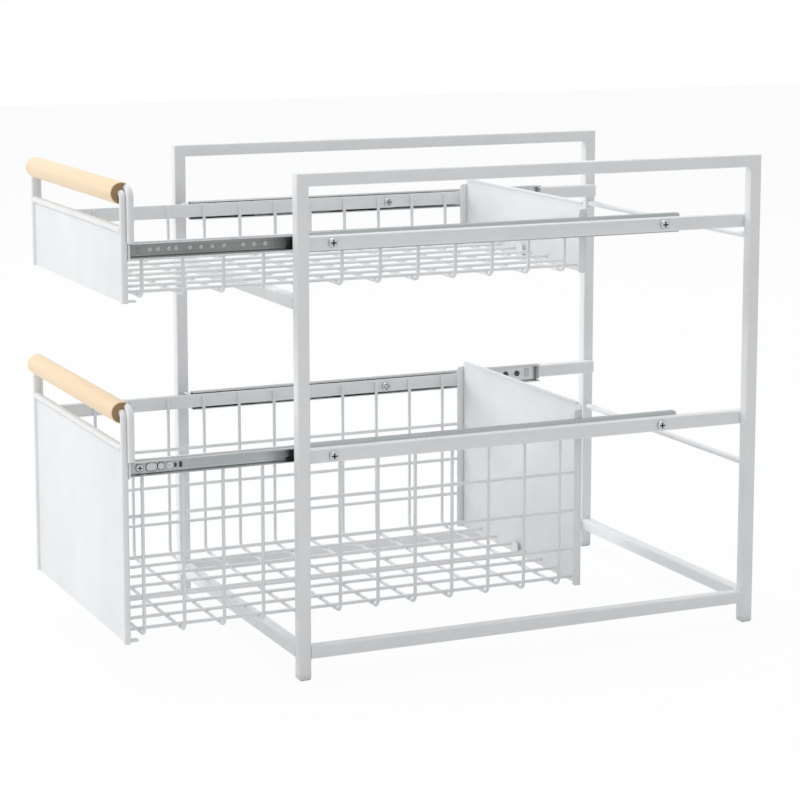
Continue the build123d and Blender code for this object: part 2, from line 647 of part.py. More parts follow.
    # Brackets: flat plates behind the legs that hold the strips and the slides' front ends.
    with BuildPart() as slide_brackets:
        with BuildSketch(Plane.XZ.offset(-(tier.leg_y + ROD / 2))):
            bracket_bottom = tier.slide_z - BRACKET_DROP
            bracket_from = STRIP_INSIDE - BRACKET_INSIDE
            bracket_to = LEG_X + BRACKET_OUTSIDE
            for side, sign in SIDES:
                bracket_x = sign * (bracket_from + bracket_to) / 2
                with Locations((bracket_x, (bracket_bottom + tier.strip_top) / 2)):
                    Rectangle(bracket_to - bracket_from, tier.strip_top - bracket_bottom)
        extrude(amount=-BRACKET_STEEL)
    slide_brackets.part.label = f"{tier.name}_slide_brackets"
    export_step(slide_brackets.part, f"parts/{tier.name}_slide_brackets.step")

    # Release levers: the moulded catches inside the inner channels.
    lever_front = tier.bracket_back + LEVER_SETBACK
    lever_half = INNER_HEIGHT / 2 - INNER_STEEL - LEVER_PLAY
    with BuildPart() as release_levers:
        for side, sign in SIDES:
            with BuildSketch(Plane.YZ.offset(sign * (STRIP_OUTSIDE + INNER_STEEL))):
                with BuildLine():
                    Polyline(
                        (lever_front, tier.slide_z - lever_half / 4),
                        (lever_front + LEVER_NOSE, tier.slide_z - lever_half),
                        (lever_front + LEVER_LENGTH, tier.slide_z - lever_half / 2),
                        (lever_front + LEVER_LENGTH, tier.slide_z + lever_half / 2),
                        (lever_front + LEVER_NOSE, tier.slide_z + lever_half),
                        (lever_front, tier.slide_z + lever_half / 4),
                        close=True,
                    )
                make_face()
            extrude(amount=sign * LEVER_THICKNESS)
    release_levers.part.label = f"{tier.name}_release_levers"
    export_step(release_levers.part, f"parts/{tier.name}_release_levers.step")
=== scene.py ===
"""Two-tier pull-out cabinet basket: powder-coated tube frame, wire baskets, ball-bearing slides, beech grips.

X is across, -Y is the front and Z is up. Lengths in millimetres are multiplied by MM.
"""

import logging
from contextlib import contextmanager
from dataclasses import dataclass, field
from enum import Enum
from math import pi, radians
from typing import Any, Callable, Iterator, Sequence

import bmesh
import bpy
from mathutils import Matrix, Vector

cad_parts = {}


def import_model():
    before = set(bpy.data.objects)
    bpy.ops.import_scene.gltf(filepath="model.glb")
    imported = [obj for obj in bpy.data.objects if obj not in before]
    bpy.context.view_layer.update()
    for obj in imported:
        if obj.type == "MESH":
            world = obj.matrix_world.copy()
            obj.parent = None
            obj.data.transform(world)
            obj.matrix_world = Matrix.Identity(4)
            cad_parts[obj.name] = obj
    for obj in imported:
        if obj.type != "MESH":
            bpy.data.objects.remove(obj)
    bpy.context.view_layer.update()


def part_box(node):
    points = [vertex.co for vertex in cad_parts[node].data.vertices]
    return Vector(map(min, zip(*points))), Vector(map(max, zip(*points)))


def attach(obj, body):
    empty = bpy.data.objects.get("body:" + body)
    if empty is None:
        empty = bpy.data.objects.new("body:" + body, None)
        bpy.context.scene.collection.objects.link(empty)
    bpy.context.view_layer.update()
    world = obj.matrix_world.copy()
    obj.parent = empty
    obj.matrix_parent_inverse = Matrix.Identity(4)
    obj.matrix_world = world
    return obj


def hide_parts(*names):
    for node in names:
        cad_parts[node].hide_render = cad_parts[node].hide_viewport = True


LOG = logging.getLogger("pull_out_basket")
MM = 0.001
CLOSE = 1e-5  # places nearer than this are one place
FACING = 0.9  # a face looks along an axis from this part of its normal on
TURNED = 0.3  # and is turned towards it from this part on
SMOOTH, ROUND_SMOOTH, SCREW_SMOOTH = 40.0, 50.0, 30.0  # degrees below which edges are shaded smooth
X, Y, Z = range(3)
TIERS = ("upper", "lower")

Point = tuple[float, float, float]
Thing = bpy.types.Object
Things = Sequence[Thing]
Socket = bpy.types.NodeSocket
EdgeTest = Callable[[bmesh.types.BMEdge], bool]


class Side(Enum):
    """The two sides of the organiser: the value points away from its middle along X."""

    LEFT = -1
    RIGHT = 1

    @property
    def word(self) -> str:
        """The side's word in node names."""
        return self.name.lower()

    def outer(self, low: Sequence[float], high: Sequence[float]) -> float:
        """Give the X of a box's face away from the middle."""
        return (high if self is Side.RIGHT else low)[X]

    def inner(self, low: Sequence[float], high: Sequence[float]) -> float:
        """Give the X of a box's face towards the middle."""
        return (low if self is Side.RIGHT else high)[X]


class Finish(Enum):
    """The finishes, by their material slots."""

    COAT = "white_coat"
    ZINC = "slide_zinc"
    # slide_dark: a shaded copy of the zinc, for painted shade
    ZINC_SHADE = "slide_dark"
    CAGE = "cage_steel"
    CHROME = "chrome"
    BEECH = "beech"
    FOOT = "foot_plastic"
    BLACK = "black_plastic"
    # dark_recess: a dark steel for painted shade; the slot after it is a half-shaded copy of the zinc, also
    # painted shade
    SHADOW = "dark_recess"
    ZINC_HALF_SHADE = "pale_runner"


def spans(edge: bmesh.types.BMEdge, axis: int) -> bool:
    """Say whether an edge's ends differ along an axis."""
    return abs(edge.verts[0].co[axis] - edge.verts[1].co[axis]) > CLOSE


def lies_at(edge: bmesh.types.BMEdge, axis: int, place: float) -> bool:
    """Say whether both ends of an edge are at a place along an axis."""
    return all(abs(vertex.co[axis] - place) < CLOSE for vertex in edge.verts)


def middle(box: tuple[Sequence[float], Sequence[float]]) -> Vector:
    """Give the middle of a box."""
    return (Vector(box[0]) + Vector(box[1])) / 2


# ---------------------------------------------------------------- shader nodes
@dataclass(frozen=True)
class Wiring:
    """Adds and links the nodes of one tree."""

    tree: bpy.types.NodeTree

    def add(self, kind: str, values: dict[Any, Any] | None = None, **settings: Any) -> bpy.types.Node:
        """Add a node.

        Args:
            kind: Its type, without "ShaderNode".
            values: Values by the names or numbers of its inputs.
            **settings: Values by its property names.

        Returns:
            The node.
        """
        node = self.tree.nodes.new(f"ShaderNode{kind}")
        for name, value in settings.items():
            setattr(node, name, value)
        for name, value in (values or {}).items():
            node.inputs[name].default_value = value
        return node

    def link(self, *pairs: tuple[Socket, Socket]) -> None:
        """Link each pair of sockets, from the first to the second."""
        for source, target in pairs:
            self.tree.links.new(source, target)

    def spread(self, mask: Socket, low: float, high: float) -> Socket:
        """Turn the middle range of a mask into a value between two others.

        Args:
            mask: The socket that gives the mask.
            low: Value where the mask is low.
            high: Value where the mask is high.

        Returns:
            The socket that gives the value.
        """
        node = self.add("MapRange", {"From Min": 0.3, "From Max": 0.7, "To Min": low, "To Max": high})
        self.link((mask, node.inputs["Value"]))
        return node.outputs["Result"]

    def mixed(self, mask: Socket, first: Point | Socket, second: Point | Socket) -> Socket:
        """Mix two colours by a mask.

        Args:
            mask: The socket that gives the mask.
            first: Colour where the mask is 0.
            second: Colour where the mask is 1.

        Returns:
            The socket that gives the colour.
        """
        node = self.add("Mix", data_type="RGBA")
        self.link((mask, node.inputs[0]))
        for socket, colour in zip((node.inputs[6], node.inputs[7]), (first, second)):
            if isinstance(colour, tuple):
                socket.default_value = (*colour, 1.0)
            else:
                self.link((colour, socket))
        return node.outputs[2]


@dataclass(frozen=True)
class EffectGroup:
    """A shader effect that several finishes share, built once as a node group."""

    name: str

    def _start(self, given: dict[str, float], results: Sequence[str]) -> tuple[Wiring, Any, Any]:
        """Make the empty group.

        Args:
            given: The usual values of its inputs by name.
            results: The names of its outputs.

        Returns:
            The wiring, the sockets that give the inputs and those that take the results.
        """
        tree = bpy.data.node_groups.new(self.name, "ShaderNodeTree")
        for name, value in given.items():
            socket = tree.interface.new_socket(name=name, in_out="INPUT", socket_type="NodeSocketFloat")
            socket.default_value = value
        for name in results:
            tree.interface.new_socket(name=name, in_out="OUTPUT", socket_type="NodeSocketFloat")
        start, end = tree.nodes.new("NodeGroupInput"), tree.nodes.new("NodeGroupOutput")
        return Wiring(tree), start.outputs, end.inputs


class UnevenCoat(EffectGroup):
    """Slow changes of tone and gloss, and the fine orange peel of a sprayed or moulded surface."""

    def build(self) -> bpy.types.NodeTree:
        """Build the group.

        Returns:
            The group's tree: Tone and Gloss are masks, Peel is a height.
        """
        sizes = {"Patch Size": 30.0, "Peel Size": 1500.0}
        wiring, given, result = self._start(sizes, ("Tone", "Gloss", "Peel"))
        place = wiring.add("TexCoord").outputs["Object"]
        patch = wiring.add("TexNoise", {"Detail": 3.0})
        smear = wiring.add("TexNoise", {"Detail": 5.0, "Roughness": 0.65})
        finer = wiring.add("Math", {1: 4.0}, operation="MULTIPLY")
        peel = wiring.add("TexNoise", {"Detail": 1.5})
        wiring.link(
            *((place, texture.inputs["Vector"]) for texture in (patch, smear, peel)),
            (given["Patch Size"], patch.inputs["Scale"]),
            (given["Patch Size"], finer.inputs[0]),
            (finer.outputs[0], smear.inputs["Scale"]),
            (given["Peel Size"], peel.inputs["Scale"]),
            (patch.outputs["Fac"], result["Tone"]),
            (smear.outputs["Fac"], result["Gloss"]),
            (peel.outputs["Fac"], result["Peel"]),
        )
        return wiring.tree


class RolledGrain(EffectGroup):
    """Long streaks along Y, as cold rolling leaves on steel strip."""

    def build(self) -> bpy.types.NodeTree:
        """Build the group.

        Returns:
            The group's tree: Streak is a mask and also serves as a height.
        """
        wiring, given, result = self._start({"Along": 12.0, "Across": 900.0}, ("Streak", "Cloud"))
        place = wiring.add("TexCoord").outputs["Object"]
        size = wiring.add("CombineXYZ")
        stretch = wiring.add("VectorMath", operation="MULTIPLY")
        streak = wiring.add("TexNoise", {"Scale": 1.0, "Detail": 4.0})
        cloud = wiring.add("TexNoise", {"Scale": 45.0, "Detail": 3.0})
        wiring.link(
            (given["Across"], size.inputs["X"]),
            (given["Along"], size.inputs["Y"]),
            (given["Across"], size.inputs["Z"]),
            (place, stretch.inputs[0]),
            (size.outputs[0], stretch.inputs[1]),
            (stretch.outputs[0], streak.inputs["Vector"]),
            (place, cloud.inputs["Vector"]),
            (streak.outputs["Fac"], result["Streak"]),
            (cloud.outputs["Fac"], result["Cloud"]),
        )
        return wiring.tree


class BeechFigure(EffectGroup):
    """Beech: fine fibres along X, short dark flecks, and growth rings that show on the sawn ends."""

    NOISES = (("Fibre", (14.0, 700.0, 700.0), 5.0), ("Fleck", (160.0, 2600.0, 2600.0), 1.0))

    def build(self) -> bpy.types.NodeTree:
        """Build the group.

        Returns:
            The group's tree: Fibre, Fleck, Ring and EndGrain are masks.
        """
        wiring, given, result = self._start({"Ring Size": 260.0}, ("Fibre", "Fleck", "Ring", "EndGrain"))
        place = wiring.add("TexCoord").outputs["Object"]
        for name, scale, detail in self.NOISES:
            mapping = wiring.add("Mapping", {"Scale": scale})
            noise = wiring.add("TexNoise", {"Scale": 1.0, "Detail": detail})
            wiring.link(
                (place, mapping.inputs["Vector"]),
                (mapping.outputs["Vector"], noise.inputs["Vector"]),
                (noise.outputs["Fac"], result[name]),
            )
        waves = {"Distortion": 2.2, "Detail": 2.0, "Detail Scale": 1.2}
        rings = wiring.add("TexWave", waves, wave_type="RINGS", rings_direction="X")
        centre = wiring.add("Mapping", {"Location": (0.0, 0.27, -0.33), "Scale": (0.05, 1.0, 1.0)})
        surface = wiring.add("NewGeometry")
        facing = wiring.add("SeparateXYZ")
        size = wiring.add("Math", operation="ABSOLUTE")
        ends = wiring.add("Math", {1: 0.9}, operation="GREATER_THAN")
        wiring.link(
            (place, centre.inputs["Vector"]),
            (centre.outputs["Vector"], rings.inputs["Vector"]),
            (given["Ring Size"], rings.inputs["Scale"]),
            (surface.outputs["True Normal"], facing.inputs[0]),
            (facing.outputs["X"], size.inputs[0]),
            (size.outputs[0], ends.inputs[0]),
            (rings.outputs["Fac"], result["Ring"]),
            (ends.outputs[0], result["EndGrain"]),
        )
        return wiring.tree


@dataclass
class Effects:
    """The shared effects, each built the first time a finish asks for it."""

    trees: dict[str, bpy.types.NodeTree] = field(default_factory=dict)

    def place(self, wiring: Wiring, effect: EffectGroup, values: dict[str, float]) -> Any:
        """Place a shared effect in a material.

        Args:
            wiring: The material's wiring.
            effect: The effect.
            values: Values of its inputs by name.

        Returns:
            The effect's outputs.
        """
        if effect.name not in self.trees:
            self.trees[effect.name] = effect.build()
        node = wiring.add("Group", values, node_tree=self.trees[effect.name])
        return node.outputs


# ---------------------------------------------------------------- finishes
@dataclass(frozen=True)
class Look:
    """What a finish gives its shader: the gloss range is a share of the roughness."""

    colour: Socket
    gloss: Socket
    gloss_range: tuple[float, float]
    height: Socket
    bump_strength: float
    bump_depth: float
    plain: dict[str, float] = field(default_factory=dict)


@dataclass(frozen=True)
class Recipe:
    """What all finishes have: a name, a colour and a roughness."""

    name: str
    colour: Point
    roughness: float

    def look(self, wiring: Wiring, effects: Effects) -> Look:
        """Wire the finish's look.

        Args:
            wiring: The material's wiring.
            effects: The shared effects.

        Returns:
            The look.
        """
        raise NotImplementedError

    def build(self, effects: Effects) -> bpy.types.Material:
        """Build the material.

        Args:
            effects: The shared effects.

        Returns:
            The material.
        """
        material = bpy.data.materials.new(self.name)
        material.use_nodes = True
        material.diffuse_color = (*self.colour, 1.0)
        wiring = Wiring(material.node_tree)
        shader = material.node_tree.nodes["Principled BSDF"].inputs
        look = self.look(wiring, effects)
        plain = {"Base Color": (*self.colour, 1.0), "Roughness": self.roughness, **look.plain}
        for name, value in plain.items():
            shader[name].default_value = value
        least, most = look.gloss_range
        gloss = wiring.spread(look.gloss, self.roughness * least, self.roughness * most)
        bump = wiring.add("Bump", {"Strength": look.bump_strength, "Distance": look.bump_depth})
        wiring.link(
            (look.colour, shader["Base Color"]),
            (gloss, shader["Roughness"]),
            (look.height, bump.inputs["Height"]),
            (bump.outputs["Normal"], shader["Normal"]),
        )
        return material


@dataclass(frozen=True)
class SprayedCoat(Recipe):
    """Powder coat or moulded plastic: one colour, a slightly uneven gloss and a fine peel."""

    shade: Point = (0.8, 0.8, 0.8)
    peel: float = 0.12
    patch: float = 30.0

    def look(self, wiring: Wiring, effects: Effects) -> Look:
        """Wire the coat's look, as Recipe.look says."""
        uneven = effects.place(wiring, UnevenCoat("Uneven coat"), {"Patch Size": self.patch})
        colour = wiring.mixed(wiring.spread(uneven["Tone"], 0.0, 1.0), self.colour, self.shade)
        return Look(colour, uneven["Gloss"], (0.88, 1.12), uneven["Peel"], self.peel, 0.00004)


@dataclass(frozen=True)
class RolledSteel(Recipe):
    """Bare or plated strip steel with rolling streaks along it."""

    streak: Point = (0.5, 0.5, 0.5)
    across: float = 900.0

    def look(self, wiring: Wiring, effects: Effects) -> Look:
        """Wire the steel's look, as Recipe.look says."""
        grain = effects.place(wiring, RolledGrain("Rolled grain"), {"Across": self.across})
        colour = wiring.mixed(wiring.spread(grain["Streak"], 0.0, 1.0), self.colour, self.streak)
        return Look(colour, grain["Cloud"], (0.8, 1.25), grain["Streak"], 0.06, 0.00003, {"Metallic": 1.0})


@dataclass(frozen=True)
class Beech(Recipe):
    """Lacquered beech, paler on the long grain and browner on the sawn ends."""

    late: Point = (0.72, 0.5, 0.24)
    fleck: Point = (0.5, 0.32, 0.14)
    end: Point = (0.26, 0.15, 0.055)
    end_late: Point = (0.38, 0.235, 0.1)

    def look(self, wiring: Wiring, effects: Effects) -> Look:
        """Wire the wood's look, as Recipe.look says."""
        figure = effects.place(wiring, BeechFigure("Beech figure"), {})
        grained = wiring.mixed(wiring.spread(figure["Fibre"], 0.0, 0.28), self.colour, self.late)
        flecked = wiring.mixed(wiring.spread(figure["Fleck"], -1.6, 0.2), grained, self.fleck)
        rings = wiring.mixed(figure["Ring"], self.end, self.end_late)
        colour = wiring.mixed(figure["EndGrain"], flecked, rings)
        lacquer = {"Coat Weight": 0.5, "Coat Roughness": 0.38}
        return Look(colour, figure["Fibre"], (0.85, 1.2), figure["Fibre"], 0.12, 0.00008, lacquer)


@dataclass
class Palette:
    """Every finish of the organiser."""

    effects: Effects = field(default_factory=Effects)
    made: dict[Finish, bpy.types.Material] = field(default_factory=dict)

    RECIPES = {
        Finish.COAT: SprayedCoat("White powder coat", (0.86, 0.865, 0.87), 0.42, (0.82, 0.828, 0.835)),
        Finish.FOOT: SprayedCoat("Pale moulded foot", (0.8, 0.8, 0.8), 0.5, (0.76, 0.76, 0.76), 0.3, 60.0),
        Finish.BLACK: SprayedCoat(
            "Black moulded catch", (0.008, 0.008, 0.008), 0.6, (0.014, 0.014, 0.014), 0.3, 90.0
        ),
        Finish.ZINC: RolledSteel("Zinc-plated slide", (0.6, 0.61, 0.62), 0.3, (0.5, 0.51, 0.52)),
        # The next two are shaded copies of the zinc, for painted shade
        Finish.ZINC_SHADE: RolledSteel("Zinc, painted shade", (0.27, 0.28, 0.275), 0.3, (0.2, 0.21, 0.205)),
        Finish.ZINC_HALF_SHADE: RolledSteel(
            "Zinc, painted half shade", (0.42, 0.45, 0.455), 0.3, (0.35, 0.375, 0.385)
        ),
        Finish.CAGE: RolledSteel("Pressed ball cage", (0.3, 0.3, 0.3), 0.34, (0.22, 0.22, 0.22)),
        Finish.CHROME: RolledSteel("Chromed screw", (0.6, 0.61, 0.63), 0.16, (0.5, 0.51, 0.53), 2400.0),
        # A dark steel for painted shade: screw recesses, rims round pressings, rivet tops
        Finish.SHADOW: RolledSteel("Dark steel, painted shade", (0.06, 0.06, 0.065), 0.4, (0.1, 0.1, 0.1)),
        Finish.BEECH: Beech("Lacquered beech", (0.88, 0.675, 0.43), 0.42),
    }

    def material(self, finish: Finish) -> bpy.types.Material:
        """Give the material of a finish, built the first time."""
        if finish not in self.made:
            self.made[finish] = self.RECIPES[finish].build(self.effects)
        return self.made[finish]


# ---------------------------------------------------------------- modelling
@dataclass
class Bench:
    """The modelling operations, each of which leaves one mesh object at the origin."""

    palette: Palette

    @staticmethod
    def clear() -> None:
        """Leave edit mode and deselect everything."""
        if bpy.context.object and bpy.context.object.mode != "OBJECT":
            bpy.ops.object.mode_set(mode="OBJECT")
        bpy.ops.object.select_all(action="DESELECT")

    def hold(self, *things: Thing) -> None:
        """Select some objects alone, with the first one active."""
        self.clear()
        for thing in things:
            thing.select_set(True)
        bpy.context.view_layer.objects.active = things[0]

    @staticmethod
    def _settle() -> Thing:
        """Move the active object's place, turn and size into its mesh, and give it."""
        bpy.ops.object.transform_apply(location=True, rotation=True, scale=True)
        return bpy.context.object

    @contextmanager
    def editing(self, thing: Thing, mode: str = "FACE") -> Iterator[bmesh.types.BMesh]:
        """Open an object in edit mode with nothing selected.

        Args:
            thing: The object to edit.
            mode: The select mode, VERT, EDGE or FACE.

        Yields:
            The edit mesh.
        """
        self.hold(thing)
        bpy.ops.object.mode_set(mode="EDIT")
        bpy.ops.mesh.select_mode(type=mode)
        bpy.ops.mesh.select_all(action="DESELECT")
        yield bmesh.from_edit_mesh(thing.data)
        bpy.ops.object.mode_set(mode="OBJECT")
        bpy.ops.object.select_all(action="DESELECT")

    @staticmethod
    def pick(thing: Thing, test: Callable[[Any], bool], edges: bool = False) -> bool:
        """Select the faces, or the edges, that pass a test, in edit mode.

        Args:
            thing: The object in edit mode.
            test: Says of a face or an edge whether it is picked.
            edges: Whether edges are picked.

        Returns:
            Whether anything was picked.
        """
        mesh = bmesh.from_edit_mesh(thing.data)
        picked = False
        for element in mesh.edges if edges else mesh.faces:
            chosen = bool(test(element))
            element.select_set(chosen)
            picked |= chosen
        bmesh.update_edit_mesh(thing.data)
        return picked

    @staticmethod
    def extrude(step: Point) -> None:
        """Extrude what is selected by a step."""
        bpy.ops.mesh.extrude_region_move(TRANSFORM_OT_translate={"value": step})

    @staticmethod
    def face_outwards() -> None:
        """Turn every face of the edited mesh outwards."""
        bpy.ops.mesh.select_all(action="SELECT")
        bpy.ops.mesh.normals_make_consistent(inside=False)

    def bore(self, thing: Thing, test: Callable[[Any], bool], wall: float, depth: float) -> None:
        """Hollow out the ends of a piece.

        Args:
            thing: The piece.
            test: Says of a face whether it is an end.
            wall: How much is left round the hollow.
            depth: The hollow's depth.
        """
        with self.editing(thing):
            self.pick(thing, test)
            bpy.ops.mesh.inset(thickness=wall, use_individual=True)
            bpy.ops.mesh.extrude_region_shrink_fatten(TRANSFORM_OT_shrink_fatten={"value": -depth})

    def block(self, start: Sequence[float], end: Sequence[float]) -> Thing:
        """Add a block between two opposite corners, in any order.

        Args:
            start: One corner.
            end: The corner opposite.

        Returns:
            The block.
        """
        self.clear()
        centre = [(a + b) / 2 for a, b in zip(start, end)]
        size = [abs(b - a) for a, b in zip(start, end)]
        bpy.ops.mesh.primitive_cube_add(size=1.0, location=centre, scale=size)
        return self._settle()

    def rod(self, start: Sequence[float], end: Sequence[float], radius: float, sides: int = 20) -> Thing:
        """Add a round rod between two points.

        Args:
            start: One end.
            end: The other end.
            radius: Its radius.
            sides: How many sides the round has.

        Returns:
            The rod.
        """
        self.clear()
        run = Vector(end) - Vector(start)
        bpy.ops.mesh.primitive_cylinder_add(
            vertices=sides,
            radius=radius,
            depth=run.length,
            location=(Vector(start) + Vector(end)) / 2,
            rotation=Vector((0, 0, 1)).rotation_difference(run).to_euler(),
        )
        return self._settle()

    def drum(self, base: Sequence[float], rise: Vector, radius: float, sides: int) -> Thing:
        """Add a cylinder on a base, which rises by a vector and has so many sides."""
        return self.rod(base, Vector(base) + rise, radius, sides)

    def bent_rod(self, foot: Point, tip: Point, bend: float, radius: float, sides: int, steps: int) -> Thing:
        """Model a rod in the XZ plane that goes upright from its foot and turns level to its tip.

        The section's circle is extruded up to the bend, spun round it and extruded on to the tip.

        Args:
            foot: The upright end.
            tip: The level end.
            bend: Radius of the bend at the rod's centre.
            radius: The rod's radius.
            sides: How many sides the round has.
            steps: How many steps the bend has.

        Returns:
            The rod.
        """
        self.clear()
        rise = 1.0 if tip[Z] > foot[Z] else -1.0
        inward = 1.0 if tip[X] > foot[X] else -1.0
        bpy.ops.mesh.primitive_circle_add(vertices=sides, radius=radius, location=foot, fill_type="NGON")
        rod = self._settle()
        knee_x, knee_z = foot[X] + inward * bend, tip[Z] - rise * bend
        with self.editing(rod):
            bpy.ops.mesh.select_all(action="SELECT")
            self.extrude((0, 0, knee_z - foot[Z]))
            quarter = -rise * inward * pi / 2
            bpy.ops.mesh.spin(steps=steps, angle=quarter, center=(knee_x, foot[Y], knee_z), axis=(0, 1, 0))
            if abs(tip[X] - knee_x) > CLOSE:
                self.extrude((tip[X] - knee_x, 0, 0))
            self.face_outwards()
        return rod

    def profile(self, outline: Sequence[tuple[float, float]], y_from: float, y_to: float) -> Thing:
        """Extrude an outline in the XZ plane along Y.

        Args:
            outline: The corners as X and Z, in order.
            y_from: Where the extrusion starts.
            y_to: Where it ends.

        Returns:
            The extruded piece.
        """
        self.clear()
        bpy.ops.mesh.primitive_circle_add(vertices=len(outline), radius=0.01, fill_type="NGON")
        piece = self._settle()
        with self.editing(piece, "VERT") as mesh:
            for vertex, (x, z) in zip(mesh.verts, outline):
                vertex.co = (x, y_from, z)
            bmesh.update_edit_mesh(piece.data)
            bpy.ops.mesh.select_all(action="SELECT")
            self.extrude((0, y_to - y_from, 0))
            self.face_outwards()
        return piece

    def modify(self, thing: Thing, kind: str, **settings: Any) -> None:
        """Add a modifier, set it and apply it.

        Args:
            thing: The object.
            kind: The modifier's type.
            **settings: Values by the modifier's property names.
        """
        self.hold(thing)
        modifier = thing.modifiers.new(kind.title(), kind)
        for name, value in settings.items():
            setattr(modifier, name, value)
        bpy.ops.object.modifier_apply(modifier=modifier.name)

    def repeat(self, thing: Thing, count: int, step: Point) -> None:
        """Repeat a piece in a row, a step apart."""
        offset = {"use_constant_offset": True, "constant_offset_displace": step}
        self.modify(thing, "ARRAY", count=count, use_relative_offset=False, **offset)

    def soften(self, thing: Thing, width: float, segments: int = 3, angle: float = 35.0) -> None:
        """Round the edges of a piece that are sharper than an angle in degrees."""
        limit = {"limit_method": "ANGLE", "angle_limit": radians(angle), "use_clamp_overlap": True}
        self.modify(thing, "BEVEL", width=width, segments=segments, **limit)

    def rounded(self, thing: Thing, test: EdgeTest, width: float, segments: int = 4) -> None:
        """Round the edges of a piece that pass a test.

        Args:
            thing: The piece.
            test: Says of an edge whether it is rounded.
            width: Width of the rounding.
            segments: How many faces the rounding has.
        """
        with self.editing(thing, "EDGE"):
            if self.pick(thing, test, edges=True):
                bpy.ops.mesh.bevel(offset=width, segments=segments, affect="EDGES")

    def cut(self, thing: Thing, cutters: Things) -> None:
        """Cut shapes out of a piece, one after the other, and remove them."""
        for cutter in cutters:
            self.modify(thing, "BOOLEAN", object=cutter, operation="DIFFERENCE", solver="EXACT")
            bpy.data.objects.remove(cutter, do_unlink=True)

    def paint(self, thing: Thing, finishes: tuple[Finish, Finish], test: Callable[[Any], bool]) -> None:
        """Give a piece two finishes.

        Args:
            thing: The piece.
            finishes: The finish of the most of it, and that of the faces that pass the test.
            test: Says of a face whether it gets the second finish.
        """
        for finish in finishes:
            thing.data.materials.append(self.palette.material(finish))
        for face in thing.data.polygons:
            face.material_index = int(test(face))

    def mirrored(self, thing: Thing) -> Thing:
        """Copy a piece to the other side of the middle plane.

        Args:
            thing: The piece.

        Returns:
            The mirrored copy, its faces pointing outwards.
        """
        self.hold(thing)
        bpy.ops.object.duplicate_move(TRANSFORM_OT_translate={"value": (0, 0, 0)})
        twin = self._settle()
        with self.editing(twin):
            bpy.ops.mesh.select_all(action="SELECT")
            bpy.ops.transform.resize(value=(-1, 1, 1), center_override=(0, 0, 0))
            bpy.ops.mesh.flip_normals()
        return twin

    def joined(self, pieces: Things) -> Thing:
        """Join pieces into the first of them, and give it selected and active."""
        self.hold(*pieces)
        if len(pieces) > 1:
            bpy.ops.object.join()
        return bpy.context.object

    def finish(
        self, pieces: Things, name: str, finish: Finish, body: str, nodes: Sequence[str], smooth: float
    ) -> None:
        """Join, name, dress and hang up a piece.

        Args:
            pieces: What it is made of.
            name: Its name.
            finish: Its finish, unless it is painted already.
            body: The body that it rides on.
            nodes: The nodes that it stands for.
            smooth: Edges flatter than this many degrees are shaded smooth.
        """
        piece = self.joined(pieces)
        piece.name = name
        piece.data.name = name
        if not piece.data.materials:
            piece.data.materials.append(self.palette.material(finish))
        bpy.ops.object.shade_smooth_by_angle(angle=radians(smooth))
        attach(piece, body)
        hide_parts(*nodes)
        LOG.info("%s: %d faces on %s", name, len(piece.data.polygons), body)


# ---------------------------------------------------------------- screws
@dataclass(frozen=True)
class Screw:
    """A pan-head screw with a crossed recess, lying along X: its sizes are radii and lengths."""

    head: float
    rise: float
    shank: float
    reach: float
    arm_length: float = 0.62
    arm_width: float = 0.15

    def build(self, bench: Bench, top: Point, side: Side) -> list[Thing]:
        """Build the screw.

        Args:
            bench: The modelling operations.
            top: Centre of the head's top.
            side: The side that its head faces.

        Returns:
            The head and the shank.
        """
        tip = Vector(top)
        out = Vector((side.value, 0, 0))
        seat = tip - out * self.rise
        dome = bench.drum(seat, out * self.rise, self.head, 40)
        bench.rounded(dome, lambda e: lies_at(e, X, top[X]), self.rise * 0.62, 6)
        deep = (seat + out * (self.rise * 0.25)).x
        over = top[X] + side.value * MM
        wide, thin = self.head * self.arm_length, self.head * self.arm_width
        arms = [
            bench.block((deep, top[Y] - y, top[Z] - z), (over, top[Y] + y, top[Z] + z))
            for y, z in ((wide, thin), (thin, wide))
        ]
        bench.cut(dome, arms)

        def in_recess(face: bpy.types.MeshPolygon) -> bool:
            """Say whether a face of the head belongs to the recess."""
            offsets = [dome.data.vertices[number].co - tip for number in face.vertices]
            return (
                all(max(abs(offset.y), abs(offset.z)) < wide + CLOSE for offset in offsets)
                and (face.center - tip).dot(out) < -0.08 * self.rise
                and len(face.vertices) < 20
            )

        # The recess faces take the dark steel: painted shade inside the cross
        bench.paint(dome, (Finish.CHROME, Finish.SHADOW), in_recess)
        return [dome, bench.drum(seat, -out * self.reach, self.shank, 20)]


RAIL_SCREW = Screw(4.25 * MM, 2.8 * MM, 2.0 * MM, 12 * MM)
RUNNER_SCREW = Screw(3.5 * MM, 1.8 * MM, 1.75 * MM, 5.5 * MM)
NUT = Screw(4.2 * MM, 2.2 * MM, 1.75 * MM, 2.0 * MM)


